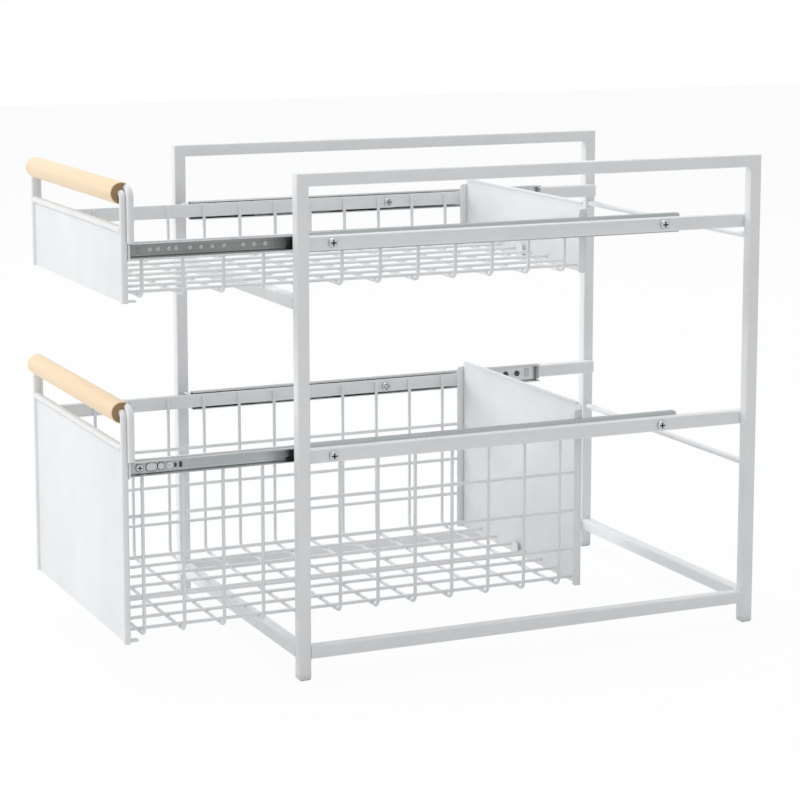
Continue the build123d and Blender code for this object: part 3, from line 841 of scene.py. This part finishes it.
# ---------------------------------------------------------------- frame
@dataclass
class TubeFrame:
    """The welded frame of square tube with its ties, feet and screws."""

    bench: Bench
    tube: float = 11 * MM
    corner: float = 1.6 * MM
    wall: float = 1.0 * MM
    open_depth: float = 20 * MM
    foot_height: float = 5 * MM
    foot_round: float = 2.6 * MM

    def build(self) -> None:
        """Build the frame's tubes, ties, feet and screws."""
        for side in Side:
            self._hoop(side.word)
            self._tube(f"{side.word}_bottom_rail", Y, f"{side.word}_bottom_tube")
            for tier in TIERS:
                rail = f"{side.word}_{tier}"
                self._tube(f"{rail}_slide_rail", Y, f"{rail}_runner_tube", hollow=True)
        for node in ("front_bottom_bar", "rear_bottom_bar", "front_upper_bar"):
            self._tube(node, X, f"{node}_tube")
        self._ties()
        self._feet()
        self._screws()

    def _hang(
        self,
        pieces: Things,
        name: str,
        nodes: Sequence[str],
        finish: Finish = Finish.COAT,
        smooth: float = SMOOTH,
    ) -> None:
        """Finish pieces as one piece of the frame.

        Args:
            pieces: What it is made of.
            name: Its name.
            nodes: The nodes that it stands for.
            finish: Its finish.
            smooth: Edges flatter than this many degrees are shaded smooth.
        """
        self.bench.finish(pieces, name, finish, "frame", nodes, smooth)

    def _tube(self, node: str, along: int, name: str, hollow: bool = False) -> None:
        """Build one square tube.

        Args:
            node: The node it stands for.
            along: The axis it runs along.
            name: Its name.
            hollow: Whether its ends are open to view.
        """
        tube = self.bench.block(*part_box(node))
        self.bench.rounded(tube, lambda e: spans(e, along), self.corner)
        if hollow:
            self.bench.bore(tube, lambda f: abs(f.normal[along]) > FACING, self.wall, self.open_depth)
        self._hang([tube], name, [node])

    def _hoop(self, word: str) -> None:
        """Build one side's posts and top rail as one welded piece.

        Args:
            word: The side's word.
        """
        bench = self.bench
        parts = [f"{word}_front_post", f"{word}_rear_post", f"{word}_top_rail"]
        low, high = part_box(parts[0])
        back_low, back_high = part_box(parts[1])
        under = high[Z] - self.tube
        hoop = bench.block(low, high)
        with bench.editing(hoop):
            bench.pick(hoop, lambda f: f.normal.z > FACING)
            bpy.ops.transform.translate(value=(0, 0, -self.tube))
            bench.extrude((0, 0, self.tube))
            bench.pick(hoop, lambda f: f.normal.y > FACING and f.calc_center_median().z > under)
            bench.extrude((0, back_low[Y] - high[Y], 0))
            bench.extrude((0, back_high[Y] - back_low[Y], 0))
            bench.pick(
                hoop,
                lambda f: f.normal.z < -FACING
                and f.calc_center_median().y > back_low[Y]
                and f.calc_center_median().z > under - self.tube,
            )
            bench.extrude((0, 0, back_low[Z] - high[Z] + self.tube))
            bench.face_outwards()
        bench.rounded(
            hoop,
            lambda e: not spans(e, X) and e.calc_face_angle(0.0) > 1.0 and not lies_at(e, Z, low[Z]),
            self.corner,
        )
        self._hang([hoop], f"{word}_side_hoop", parts)

    def _ties(self) -> None:
        """Build the two round ties across the back."""
        low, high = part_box("rear_ties")
        radius = (high[Y] - low[Y]) / 2
        y = (low[Y] + high[Y]) / 2
        levels = (low[Z] + radius, high[Z] - radius)
        rods = [self.bench.rod((low[X], y, z), (high[X], y, z), radius, 24) for z in levels]
        self._hang(rods, "back_tie_rods", ["rear_ties"])

    def _feet(self) -> None:
        """Build the moulded caps under the posts, domed a little where they meet the floor, with painted contact
        shade underneath.
        """
        bench = self.bench
        caps = []
        low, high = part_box("foot_caps")
        for x in (low[X], high[X] - self.tube):
            for y in (low[Y], high[Y] - self.tube):
                cap = bench.block((x, y, low[Z]), (x + self.tube, y + self.tube, self.foot_height))
                bench.rounded(cap, lambda e: spans(e, Z), self.corner)
                bench.rounded(cap, lambda e: lies_at(e, Z, low[Z]), self.foot_round, 6)
                # The undersides take the dark cage steel: painted contact shade where the caps meet the floor
                bench.paint(cap, (Finish.FOOT, Finish.CAGE), lambda f: f.normal.z < -0.4)
                caps.append(cap)
        self._hang(caps, "post_feet", ["foot_caps"], Finish.FOOT)

    def _screws(self) -> None:
        """Build the screws that hold the outer channels to the frame's rails."""
        low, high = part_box("rail_screws")
        head = RAIL_SCREW.head
        screws = []
        for side in Side:
            for y in (low[Y] + head, high[Y] - head):
                for z in (low[Z] + head, high[Z] - head):
                    screws += RAIL_SCREW.build(self.bench, (side.outer(low, high), y, z), side)
        self._hang(screws, "rail_fixing_screws", ["rail_screws"], Finish.CHROME, SCREW_SMOOTH)


@dataclass
class Tier:
    """The work on one tier: its nodes, and the pieces that stand for them."""

    bench: Bench
    tier: str

    def box(self, name: str) -> tuple[Sequence[float], Sequence[float]]:
        """Give the box of one of the tier's nodes."""
        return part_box(f"{self.tier}_{name}")

    def hang(
        self,
        pieces: Things,
        name: str,
        node: str,
        finish: Finish = Finish.COAT,
        smooth: float = SMOOTH,
        body: str = "",
    ) -> None:
        """Finish pieces as one that stands for one of the tier's nodes.

        Args:
            pieces: What it is made of.
            name: Its name, without the tier.
            node: The node, without the tier.
            finish: Its finish.
            smooth: Edges flatter than this many degrees are shaded smooth.
            body: The body that it rides on, if not the tier's basket.
        """
        rides_on = body or f"{self.tier}_basket"
        self.bench.finish(pieces, f"{self.tier}_{name}", finish, rides_on, [f"{self.tier}_{node}"], smooth)


# ---------------------------------------------------------------- slides
@dataclass(frozen=True)
class Pressing:
    """A flat rounded form on a runner's web, in millimetres, by its distance from the runner's front. Those in
    the dark steel are painted shade.
    """

    setback: float
    length: float
    height: float
    rise: float
    finish: Finish = Finish.SHADOW


# The dark entries are painted shade: rims under the raised zinc pressings, the dot on the small disc, and two
# dark spots that stand in for shaded holes
LOWER_PRESSINGS = (
    Pressing(19.7, 10.3, 7.4, 0.3),
    Pressing(19.7, 9.1, 6.3, 0.6, Finish.ZINC),
    Pressing(27.9, 6.4, 6.8, 0.3),
    Pressing(27.9, 5.4, 5.7, 0.6, Finish.ZINC),
    Pressing(35.3, 5.0, 5.7, 0.6, Finish.ZINC),
    Pressing(34.9, 0.9, 0.9, 0.75),
    Pressing(40.4, 2.3, 3.8, 0.3),
    Pressing(45.0, 2.8, 5.0, 0.3),
)


@dataclass
class SlideSet(Tier):
    """The ball-bearing slides of one tier: outer channels, runners, catches and screws."""

    outer_steel: float = 1.1 * MM
    inner_steel: float = 1.0 * MM
    rivets: tuple[float, ...] = (22.5, 35.0)
    rivet_radius: float = 2.9 * MM
    rivet_rise: float = 1.1 * MM
    stop_reach: float = 6.2 * MM
    stop_gap: float = 1.2 * MM
    stop_round: float = 2.2 * MM
    hole_radius: float = 2.0 * MM
    catch_depth: float = 4 * MM
    catch_front: float = 4.5 * MM
    stud_radius: float = 2.2 * MM
    stud_rise: float = 0.4 * MM
    holes: tuple[float, ...] = (19.1, 26.0, 35.4, 41.4, 53.5, 63.0, 72.6, 83.0, 99.7, 109.4, 119.2)
    pressings: tuple[Pressing, ...] = ()

    def build(self) -> None:
        """Build the tier's slides."""
        for side in Side:
            self._outer(side)
            self._inner(side)
        self._catches()
        self._screws()

    def _channel(self, node: str, side: Side, steel: float, opens_inward: bool) -> Thing:
        """Model a C channel with rounded bends.

        Args:
            node: The node that gives its place.
            side: The side it is on.
            steel: The strip's thickness.
            opens_inward: Whether its mouth faces the middle.

        Returns:
            The channel.
        """
        low, high = self.box(node)
        mouth = -side.value if opens_inward else side.value
        web_x, tip_x = (high[X], low[X]) if mouth < 0 else (low[X], high[X])
        bend = 1.2 * steel
        reach = abs(tip_x - web_x)
        mid_z = (low[Z] + high[Z]) / 2
        half = (high[Z] - low[Z]) / 2
        path = [
            (0.0, half - 1.6 * bend),
            (bend * 0.3, half - bend),
            (bend * 0.55, half - bend * 0.3),
            (bend, half),
            (reach - 0.4 * MM, half),
            (reach, half - 0.4 * MM),
            (reach, half - steel),
            (reach - 1.2 * MM, half - steel),
            (steel + bend, half - steel),
            (steel + 0.3 * bend, half - steel - 0.3 * bend),
            (steel, half - steel - bend),
        ]
        outline = [(web_x + mouth * dx, mid_z + dz) for dx, dz in path]
        outline += [(web_x + mouth * dx, mid_z - dz) for dx, dz in reversed(path)]
        return self.bench.profile(outline, low[Y], high[Y])

    def _outer(self, side: Side) -> None:
        """Build one outer channel with its stop, rivets and end pressing.

        Args:
            side: The side it is on.
        """
        bench = self.bench
        node = f"{side.word}_slide_outer"
        low, high = self.box(node)
        channel = self._channel(node, side, self.outer_steel, True)
        bench.soften(channel, 0.12 * MM, 1, 50)
        mid_z = (low[Z] + high[Z]) / 2
        # The outward faces and the upper flange's top take a darker copy of the zinc: painted shade along the
        # channel's edges
        bench.paint(
            channel,
            (Finish.ZINC, Finish.ZINC_HALF_SHADE),
            lambda f: f.normal.x * side.value > TURNED or (f.normal.z > TURNED and f.center.z > mid_z),
        )
        web = side.outer(low, high) - side.value * self.outer_steel
        half = (high[Z] - low[Z]) / 2 - self.outer_steel
        reach = web - side.value * self.stop_reach
        stop_half = half - self.stop_gap
        start = (web, high[Y] - self.outer_steel, mid_z - stop_half)
        stop = bench.block(start, (reach, high[Y], mid_z + stop_half))
        bench.rounded(stop, lambda e: spans(e, Y) and lies_at(e, X, reach), self.stop_round)
        bench.soften(stop, 0.2 * MM, 2)
        pieces = [channel, stop]
        rise = Vector((-side.value, 0, 0)) * self.rivet_rise
        for setback in self.rivets:
            rivet = bench.drum((web, high[Y] - setback * MM, mid_z), rise, self.rivet_radius, 28)
            bench.rounded(rivet, lambda e: lies_at(e, X, web + rise.x), 0.7 * MM)
            # The rivets' flat faces take the dark steel: painted shade
            bench.paint(rivet, (Finish.ZINC, Finish.SHADOW), lambda f: abs(f.normal.x) > 0.5)
            pieces.append(rivet)
        proud = (web - side.value * 0.5 * MM, high[Y] - 9 * MM, mid_z + 4 * MM)
        pressed = bench.block((web, high[Y] - 14 * MM, mid_z - 4 * MM), proud)
        bench.soften(pressed, 0.4 * MM, 2)
        self.hang([*pieces, pressed], f"{side.word}_outer_channel", node, Finish.ZINC, body="frame")

    def _inner(self, side: Side) -> None:
        """Build one runner with its punched holes or pressings.

        Args:
            side: The side it is on.
        """
        bench = self.bench
        node = f"{side.word}_slide_inner"
        low, high = self.box(node)
        runner = self._channel(node, side, self.inner_steel, False)
        mid_z = (low[Z] + high[Z]) / 2
        web = side.inner(low, high)
        through = Vector((side.value, 0, 0)) * (5 * MM)
        behind = web - side.value * 2 * MM
        starts = [(behind, low[Y] + setback * MM, mid_z) for setback in self.holes]
        bench.cut(runner, [bench.drum(start, through, self.hole_radius, 20) for start in starts])
        # The runner's outward faces take a darker copy of the zinc: painted shade, lighter on the lower tier
        face = Finish.ZINC_HALF_SHADE if self.pressings else Finish.ZINC_SHADE
        bench.paint(runner, (Finish.ZINC, face), lambda f: f.normal.x * side.value > TURNED)
        seat = web + side.value * (self.inner_steel - 0.2 * MM)
        plates = [self._plate(side, (seat, low[Y], mid_z), pressing) for pressing in self.pressings]
        self.hang([runner, *plates], f"{side.word}_runner", node, Finish.ZINC_SHADE, SCREW_SMOOTH)

    def _plate(self, side: Side, seat: Point, pressing: Pressing) -> Thing:
        """Model a flat rounded pressing on the runner's web.

        Args:
            side: The side it is on.
            seat: The place on the web that setbacks count from.
            pressing: What is pressed.

        Returns:
            The pressing.
        """
        x, y, z = seat[X], seat[Y] + pressing.setback * MM, seat[Z]
        top = x + side.value * (pressing.rise + 0.2) * MM
        along, up = pressing.length * MM / 2, pressing.height * MM / 2
        plate = self.bench.block((x, y - along, z - up), (top, y + along, z + up))
        self.bench.rounded(plate, lambda e: spans(e, X), 0.9 * min(along, up), 6)
        self.bench.paint(plate, (pressing.finish, Finish.SHADOW), lambda f: False)
        return plate

    def _catches(self) -> None:
        """Build the moulded release catches inside the runners."""
        bench = self.bench
        low, high = self.box("release_levers")
        mid_z, half = (low[Z] + high[Z]) / 2, (high[Z] - low[Z]) / 2
        catches = []
        for side in Side:
            face = side.outer(low, high)
            back = face - side.value * self.catch_depth
            body = bench.block((face, low[Y] + 7.5 * MM, mid_z - half), (back, high[Y], mid_z + half))
            with bench.editing(body):
                bench.pick(body, lambda f: f.normal.y > FACING)
                bpy.ops.transform.resize(value=(1, 1, 0.5), center_override=(face, high[Y], mid_z))
                bench.pick(body, lambda f: f.normal.y < -FACING)
                bpy.ops.transform.resize(value=(0.6, 1, 1), center_override=(back, low[Y], mid_z))
            foot = bench.block(
                (face, low[Y] + self.catch_front, mid_z - half), (back, low[Y] + 9 * MM, mid_z - half + 2.2 * MM)
            )
            bench.soften(foot, 0.4 * MM, 2)
            catch = bench.joined([body, foot])
            bench.soften(catch, 0.5 * MM)
            catches.append(catch)
        self.hang(catches, "release_catches", "release_levers", Finish.BLACK)

    def _screws(self) -> None:
        """Build the screws that hold the runners to the basket, and their nuts inside the strips."""
        low, high = self.box("slide_screws")
        mid_z = (low[Z] + high[Z]) / 2
        head = RUNNER_SCREW.head
        screws: list[Thing] = []
        for side in Side:
            nut_top = side.inner(*self.box(f"{side.word}_strip")) - side.value * NUT.rise
            for y in (low[Y] + head, high[Y] - head):
                screws += NUT.build(self.bench, (nut_top, y, mid_z), Side(-side.value))
                top = (side.outer(low, high), y, mid_z)
                cross = self.pressings
                screws += RUNNER_SCREW.build(self.bench, top, side) if cross else self._stud(top, side)
        self.hang(screws, "runner_screws", "slide_screws", Finish.CHROME, SCREW_SMOOTH)

    def _stud(self, top: Point, side: Side) -> list[Thing]:
        """Model a low stud in a screw's place.

        Args:
            top: Centre of the top that the screw's head would have.
            side: The side that it faces.

        Returns:
            The stud and its shank.
        """
        out = Vector((side.value, 0, 0))
        seat = (top[X] - side.value * RUNNER_SCREW.rise, top[Y], top[Z])
        stud = self.bench.drum(seat, out * self.stud_rise, self.stud_radius, 28)
        self.bench.soften(stud, 0.25 * MM)
        shank = self.bench.drum(seat, -out * RUNNER_SCREW.reach, RUNNER_SCREW.shank, 20)
        # The stud takes the runner's shaded zinc: painted shade, like the web round it
        for part in (stud, shank):
            self.bench.paint(part, (Finish.ZINC_SHADE, Finish.CHROME), lambda f: False)
        return [stud, shank]


# ---------------------------------------------------------------- basket
@dataclass
class Basket(Tier):
    """One wire basket with its strips, sheets, legs, braces and wooden grip."""

    side_wires: int = 0
    side_step: float = 35.0 * MM
    first_side_wire: float = 42.5 * MM
    wire: float = 1.5 * MM
    wire_sides: int = 14
    rod: float = 3.0 * MM
    rod_sides: int = 28
    hoops: int = 12
    hoop_step: float = 35.4 * MM
    hoop_bend: float = 6.0 * MM
    first_hoop: float = 16.9 * MM
    floor_wires: int = 8
    floor_step: float = 32.0 * MM
    leg_bend: float = 4.5 * MM
    sheet: float = 1.2 * MM
    sheet_corner: float = 6 * MM
    tab_round: float = 2.5 * MM
    return_depth: float = 6.5 * MM
    hem: float = 2.0 * MM
    sheet_ease: float = 0.3 * MM
    tab_width: float = 8 * MM
    seam_height: float = 1.1 * MM
    seam_depth: float = 0.8 * MM
    hook_half: float = 5.5 * MM
    hook_depth: float = 4 * MM
    hook_height: float = 12 * MM
    plate_width: float = 10.5 * MM
    grip_ease: float = 1.1 * MM
    grip_bore: float = 3.2 * MM
    bore_depth: float = 14 * MM

    def build(self) -> None:
        """Build the basket."""
        for side in Side:
            self._side_grid(side)
            self._strip(side)
            self._leg(side)
        self._floor_grid()
        self._braces()
        self._crossbar()
        self._front_panel()
        self._back_panel()
        self._brackets()
        self._grip()

    def _side_grid(self, side: Side) -> None:
        """Build one side's hoop ends, repeated along, and the wires inside them.

        Args:
            side: The side it is on.
        """
        low, high = self.box(f"{side.word}_grid")
        x = side.outer(low, high) - side.value * self.wire
        z = low[Z] + self.wire
        first = self.box("floor_grid")[0][Y] + self.first_hoop
        tip = (side.inner(low, high), first, z)
        hoop = self.bench.bent_rod((x, first, high[Z]), tip, self.hoop_bend, self.wire, self.wire_sides, 8)
        self.bench.repeat(hoop, self.hoops, (0.0, self.hoop_step, 0.0))
        centre_z = middle(self.box(f"{side.word}_slide_inner")).z
        wire_x = x - side.value * (2 * self.wire - 0.05 * MM)
        wires = [
            self._long_wire(wire_x, centre_z - self.first_side_wire - k * self.side_step, low[Y], high[Y])
            for k in range(self.side_wires)
        ]
        self.hang([hoop, *wires], f"{side.word}_wires", f"{side.word}_grid", smooth=ROUND_SMOOTH)

    def _long_wire(self, x: float, z: float, y_from: float, y_to: float) -> Thing:
        """Model one wire along Y with slightly rounded ends.

        Args:
            x: Its place across.
            z: Its height.
            y_from: Its front end.
            y_to: Its back end.

        Returns:
            The wire.
        """
        wire = self.bench.rod((x, y_from, z), (x, y_to, z), self.wire, self.wire_sides)
        self.bench.rounded(wire, lambda e: not spans(e, Y), 0.4 * MM, 2)
        return wire

    def _floor_grid(self) -> None:
        """Build the floor: the hoops' level middles and the lengthwise wires on them."""
        low, high = self.box("floor_grid")
        y, z = low[Y] + self.first_hoop, low[Z] + self.wire
        across = self.bench.rod((low[X], y, z), (high[X], y, z), self.wire, self.wire_sides)
        self.bench.repeat(across, self.hoops, (0.0, self.hoop_step, 0.0))
        start = -self.floor_step * (self.floor_wires - 1) / 2
        along = self._long_wire(start, high[Z] - self.wire, low[Y], high[Y])
        self.bench.repeat(along, self.floor_wires, (self.floor_step, 0.0, 0.0))
        self.hang([across, along], "floor_wires", "floor_grid", smooth=ROUND_SMOOTH)

    def _strip(self, side: Side) -> None:
        """Build the flat bar along the top edge.

        Args:
            side: The side it is on.
        """
        strip = self.bench.block(*self.box(f"{side.word}_strip"))
        self.bench.soften(strip, 0.5 * MM)
        self.hang([strip], f"{side.word}_top_strip", f"{side.word}_strip")

    def _leg(self, side: Side) -> None:
        """Build one leg of the handle.

        Args:
            side: The side it is on.
        """
        low, high = self.box(f"{side.word}_leg")
        y = (low[Y] + high[Y]) / 2
        x = side.outer(low, high) - side.value * self.rod
        tip = (side.inner(low, high), y, high[Z] - self.rod)
        leg = self.bench.bent_rod((x, y, low[Z]), tip, self.leg_bend, self.rod, self.rod_sides, 12)
        self.bench.rounded(leg, lambda e: lies_at(e, Z, low[Z]), 0.6 * MM, 3)
        self.hang([leg], f"{side.word}_handle_leg", f"{side.word}_leg", smooth=ROUND_SMOOTH)

    def _braces(self) -> None:
        """Build the second rod behind each leg, at its node."""
        low, high = self.box("handle_braces")
        y = (low[Y] + high[Y]) / 2
        x, top = high[X] - self.rod, high[Z] - self.rod
        bend = self.leg_bend + high[X] - self.box("right_leg")[1][X]
        right = self.bench.bent_rod((x, y, low[Z]), (x - bend, y, top), bend, self.rod, self.rod_sides, 12)
        self.hang([right, self.bench.mirrored(right)], "brace_rods", "handle_braces", smooth=ROUND_SMOOTH)

    def _crossbar(self) -> None:
        """Build the rod across the front sheet's top."""
        low, high = self.box("crossbar")
        mid = middle((low, high))
        bar = self.bench.rod((low[X], mid.y, mid.z), (high[X], mid.y, mid.z), self.rod, self.rod_sides)
        self.hang([bar], "cross_rod", "crossbar", smooth=ROUND_SMOOTH)

    def _front_panel(self) -> None:
        """Build the front sheet with its two tabs and the seam under the crossbar."""
        bench = self.bench
        low, high = self.box("front_panel")
        back = low[Y] + self.sheet
        panel = bench.block(low, (high[X], back, high[Z]))
        bench.soften(panel, self.sheet_ease, 2)
        under = self.box("crossbar")[0][Z] + 0.3 * MM
        start = (low[X] - MM, low[Y] - MM, under - self.seam_height)
        seam = bench.block(start, (high[X] + MM, low[Y] + self.seam_depth, under))
        bench.cut(panel, [seam])
        tabs = []
        for side in Side:
            edge = side.outer(low, high)
            inner = edge - side.value * self.tab_width
            tab = bench.block((edge, back, low[Z]), (inner, high[Y], low[Z] + self.sheet))
            bench.rounded(tab, lambda e: lies_at(e, Y, high[Y]) and spans(e, Z), self.tab_round)
            tabs.append(tab)
        self.hang([panel, *tabs], "front_sheet", "front_panel")

    def _back_panel(self) -> None:
        """Build the back sheet with rounded top corners, a hem, side returns and a hooked tab."""
        bench = self.bench
        low, high = self.box("back_panel")
        inner, corner = high[Y] - self.sheet, self.sheet_corner
        front = inner - self.return_depth
        panel = bench.block((low[X], inner, low[Z]), high)
        bench.rounded(panel, lambda e: lies_at(e, Z, high[Z]) and spans(e, Y), corner, 8)
        bench.soften(panel, self.sheet_ease, 2)
        returns = []
        for side in Side:
            edge = side.outer(low, high)
            inside = edge - side.value * self.sheet
            flange = bench.block((edge, front, low[Z]), (inside, inner, high[Z] - corner))
            bench.rounded(flange, lambda e: lies_at(e, Y, front) and spans(e, X), self.tab_round)
            bench.soften(flange, self.sheet_ease, 2)
            returns.append(flange)
        hem_low = (low[X] + corner, inner - self.sheet, high[Z] - self.hem)
        hem = bench.block(hem_low, (high[X] - corner, inner, high[Z]))
        bench.soften(hem, 0.5 * MM)
        half, depth, top = self.hook_half, inner - self.hook_depth, low[Z] + self.hook_height
        hook = bench.block((-half, depth, low[Z]), (half, inner, low[Z] + self.sheet))
        lip = bench.block((-half, depth, low[Z] + self.sheet), (half, depth + self.sheet, top))
        bench.rounded(lip, lambda e: lies_at(e, Z, top) and spans(e, Y), 2 * MM)
        self.hang([panel, *returns, hem, hook, lip], "back_sheet", "back_panel")

    def _brackets(self) -> None:
        """Build the plates behind the legs."""
        low, high = self.box("slide_brackets")
        right = self.bench.block((high[X] - self.plate_width, low[Y], low[Z]), high)
        self.bench.rounded(right, lambda e: spans(e, Y) and lies_at(e, X, high[X]), self.tab_round)
        self.bench.soften(right, 0.25 * MM, 2)
        self.hang([right, self.bench.mirrored(right)], "bracket_plates", "slide_brackets")

    def _grip(self) -> None:
        """Build the turned wooden grip: a rod whose ends are eased and bored."""
        low, high = self.box("grip")
        mid = middle((low, high))
        radius = (high[Z] - low[Z]) / 2
        grip = self.bench.rod((low[X], mid.y, mid.z), (high[X], mid.y, mid.z), radius, 64)
        self.bench.rounded(grip, lambda e: not spans(e, X), self.grip_ease, 5)
        wall = radius - self.grip_ease - self.grip_bore
        self.bench.bore(grip, lambda f: len(f.verts) > 8, wall, self.bore_depth)
        self.hang([grip], "wood_grip", "grip", Finish.BEECH, ROUND_SMOOTH)


# ---------------------------------------------------------------- studio
@dataclass
class Studio:
    """The floor, backdrop, lamps and camera."""

    focal_px: float = 2401.65
    frame_px: float = 800.0
    sensor_mm: float = 36.0
    camera_at: Point = (1.9775, -0.87275, 0.61684)
    azimuth: float = 65.795
    down: float = 8.461
    shift_y: float = -0.125
    room: float = 0.54
    floor_white: float = 0.93
    lamp_aim: Point = (0.0, 0.0, 0.2)

    def build(self) -> None:
        """Build the whole studio."""
        scene = bpy.context.scene
        scene.view_settings.view_transform = "Standard"
        self._world(scene)
        self._floor()
        self._lamp("top_box", (-0.6, -0.4, 3.4), (3.0, 3.0), 62.0, (1.0, 1.0, 1.0))
        self._lamp("front_box", (-2.4, -4.4, 1.5), (2.2, 1.8), 82.0, (1.0, 0.995, 0.985))
        self._camera(scene)

    def _camera(self, scene: bpy.types.Scene) -> None:
        """Place the camera where the photograph was taken from.

        Args:
            scene: The scene.
        """
        data = bpy.data.cameras.new("photo_camera")
        data.sensor_width = self.sensor_mm
        data.sensor_fit = "HORIZONTAL"
        data.lens = self.focal_px * self.sensor_mm / self.frame_px
        data.shift_y = self.shift_y
        data.clip_end = 50.0
        camera = bpy.data.objects.new("photo_camera", data)
        camera.location = self.camera_at
        camera.rotation_euler = (radians(90 - self.down), 0.0, radians(self.azimuth))
        scene.collection.objects.link(camera)
        scene.camera = camera

    @staticmethod
    def _seen_white(wiring: Wiring, plain: Socket, white_kind: str, output_kind: str, share: float) -> None:
        """Show a surface as white to the camera, in gloss and through glass, and plain to the light.

        Args:
            wiring: The wiring.
            plain: The shader that light meets.
            white_kind: The white shader's type.
            output_kind: The output's type.
            share: How much of the white is seen, the rest being the plain shader.
        """
        path = wiring.add("LightPath").outputs
        either = wiring.add("Math", operation="MAXIMUM")
        any_of_three = wiring.add("Math", operation="MAXIMUM")
        part = wiring.add("Math", {1: share}, operation="MULTIPLY")
        white = wiring.add(white_kind, {"Color": (1, 1, 1, 1), "Strength": 1.0})
        mix = wiring.add("MixShader")
        wiring.link(
            (path["Is Camera Ray"], either.inputs[0]),
            (path["Is Glossy Ray"], either.inputs[1]),
            (either.outputs[0], any_of_three.inputs[0]),
            (path["Is Transmission Ray"], any_of_three.inputs[1]),
            (any_of_three.outputs[0], part.inputs[0]),
            (part.outputs[0], mix.inputs[0]),
            (plain, mix.inputs[1]),
            (white.outputs[0], mix.inputs[2]),
            (mix.outputs[0], wiring.add(output_kind).inputs["Surface"]),
        )

    def _world(self, scene: bpy.types.Scene) -> None:
        """Make the world: soft grey-white light, seen as white.

        Args:
            scene: The scene.
        """
        world = bpy.data.worlds.new("soft_room")
        scene.world = world
        world.use_nodes = True
        world.node_tree.nodes.clear()
        wiring = Wiring(world.node_tree)
        glow = wiring.add("Background", {"Color": (0.97, 0.985, 1.0, 1.0), "Strength": self.room})
        self._seen_white(wiring, glow.outputs[0], "Background", "OutputWorld", 1.0)

    def _floor(self) -> None:
        """Make the pale floor."""
        Bench.clear()
        bpy.ops.mesh.primitive_plane_add(size=14.0, location=(0, 0, 0))
        floor = bpy.context.object
        floor.name = "studio_floor"
        material = bpy.data.materials.new("Pale floor")
        material.use_nodes = True
        material.node_tree.nodes.clear()
        wiring = Wiring(material.node_tree)
        matt = wiring.add("BsdfDiffuse", {"Color": (0.9, 0.9, 0.9, 1.0)})
        self._seen_white(wiring, matt.outputs[0], "Emission", "OutputMaterial", self.floor_white)
        floor.data.materials.append(material)

    def _lamp(self, name: str, at: Point, size: tuple[float, float], power: float, colour: Point) -> None:
        """Add one soft box.

        Args:
            name: Its name.
            at: Its place.
            size: Its width and height.
            power: Its power in watts.
            colour: Its colour.
        """
        data = bpy.data.lights.new(name, "AREA")
        data.shape = "RECTANGLE"
        data.size, data.size_y = size
        data.energy = power
        data.color = colour
        lamp = bpy.data.objects.new(name, data)
        lamp.location = at
        lamp.rotation_euler = (Vector(self.lamp_aim) - Vector(at)).to_track_quat("-Z", "Y").to_euler()
        bpy.context.scene.collection.objects.link(lamp)


def dress_cages(palette: Palette) -> None:
    """Give the ball cages, which keep their shape, their finish.

    Args:
        palette: The finishes.
    """
    for tier in TIERS:
        for side in Side:
            name = f"{tier}_{side.word}_ball_cage"
            cage = bpy.data.objects[name]
            cage.data.materials.clear()
            cage.data.materials.append(palette.material(Finish.CAGE))
            LOG.info("%s: finish only", name)


def main() -> None:
    """Load the frame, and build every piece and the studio."""
    logging.basicConfig(level=logging.INFO, format="%(message)s")
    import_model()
    palette = Palette()
    bench = Bench(palette)
    TubeFrame(bench).build()
    SlideSet(bench, "upper").build()
    SlideSet(bench, "lower", holes=(), pressings=LOWER_PRESSINGS).build()
    Basket(bench, "upper").build()
    Basket(bench, "lower", side_wires=3).build()
    dress_cages(palette)
    Studio().build()
    Bench.clear()


if __name__ == "__main__":
    main()
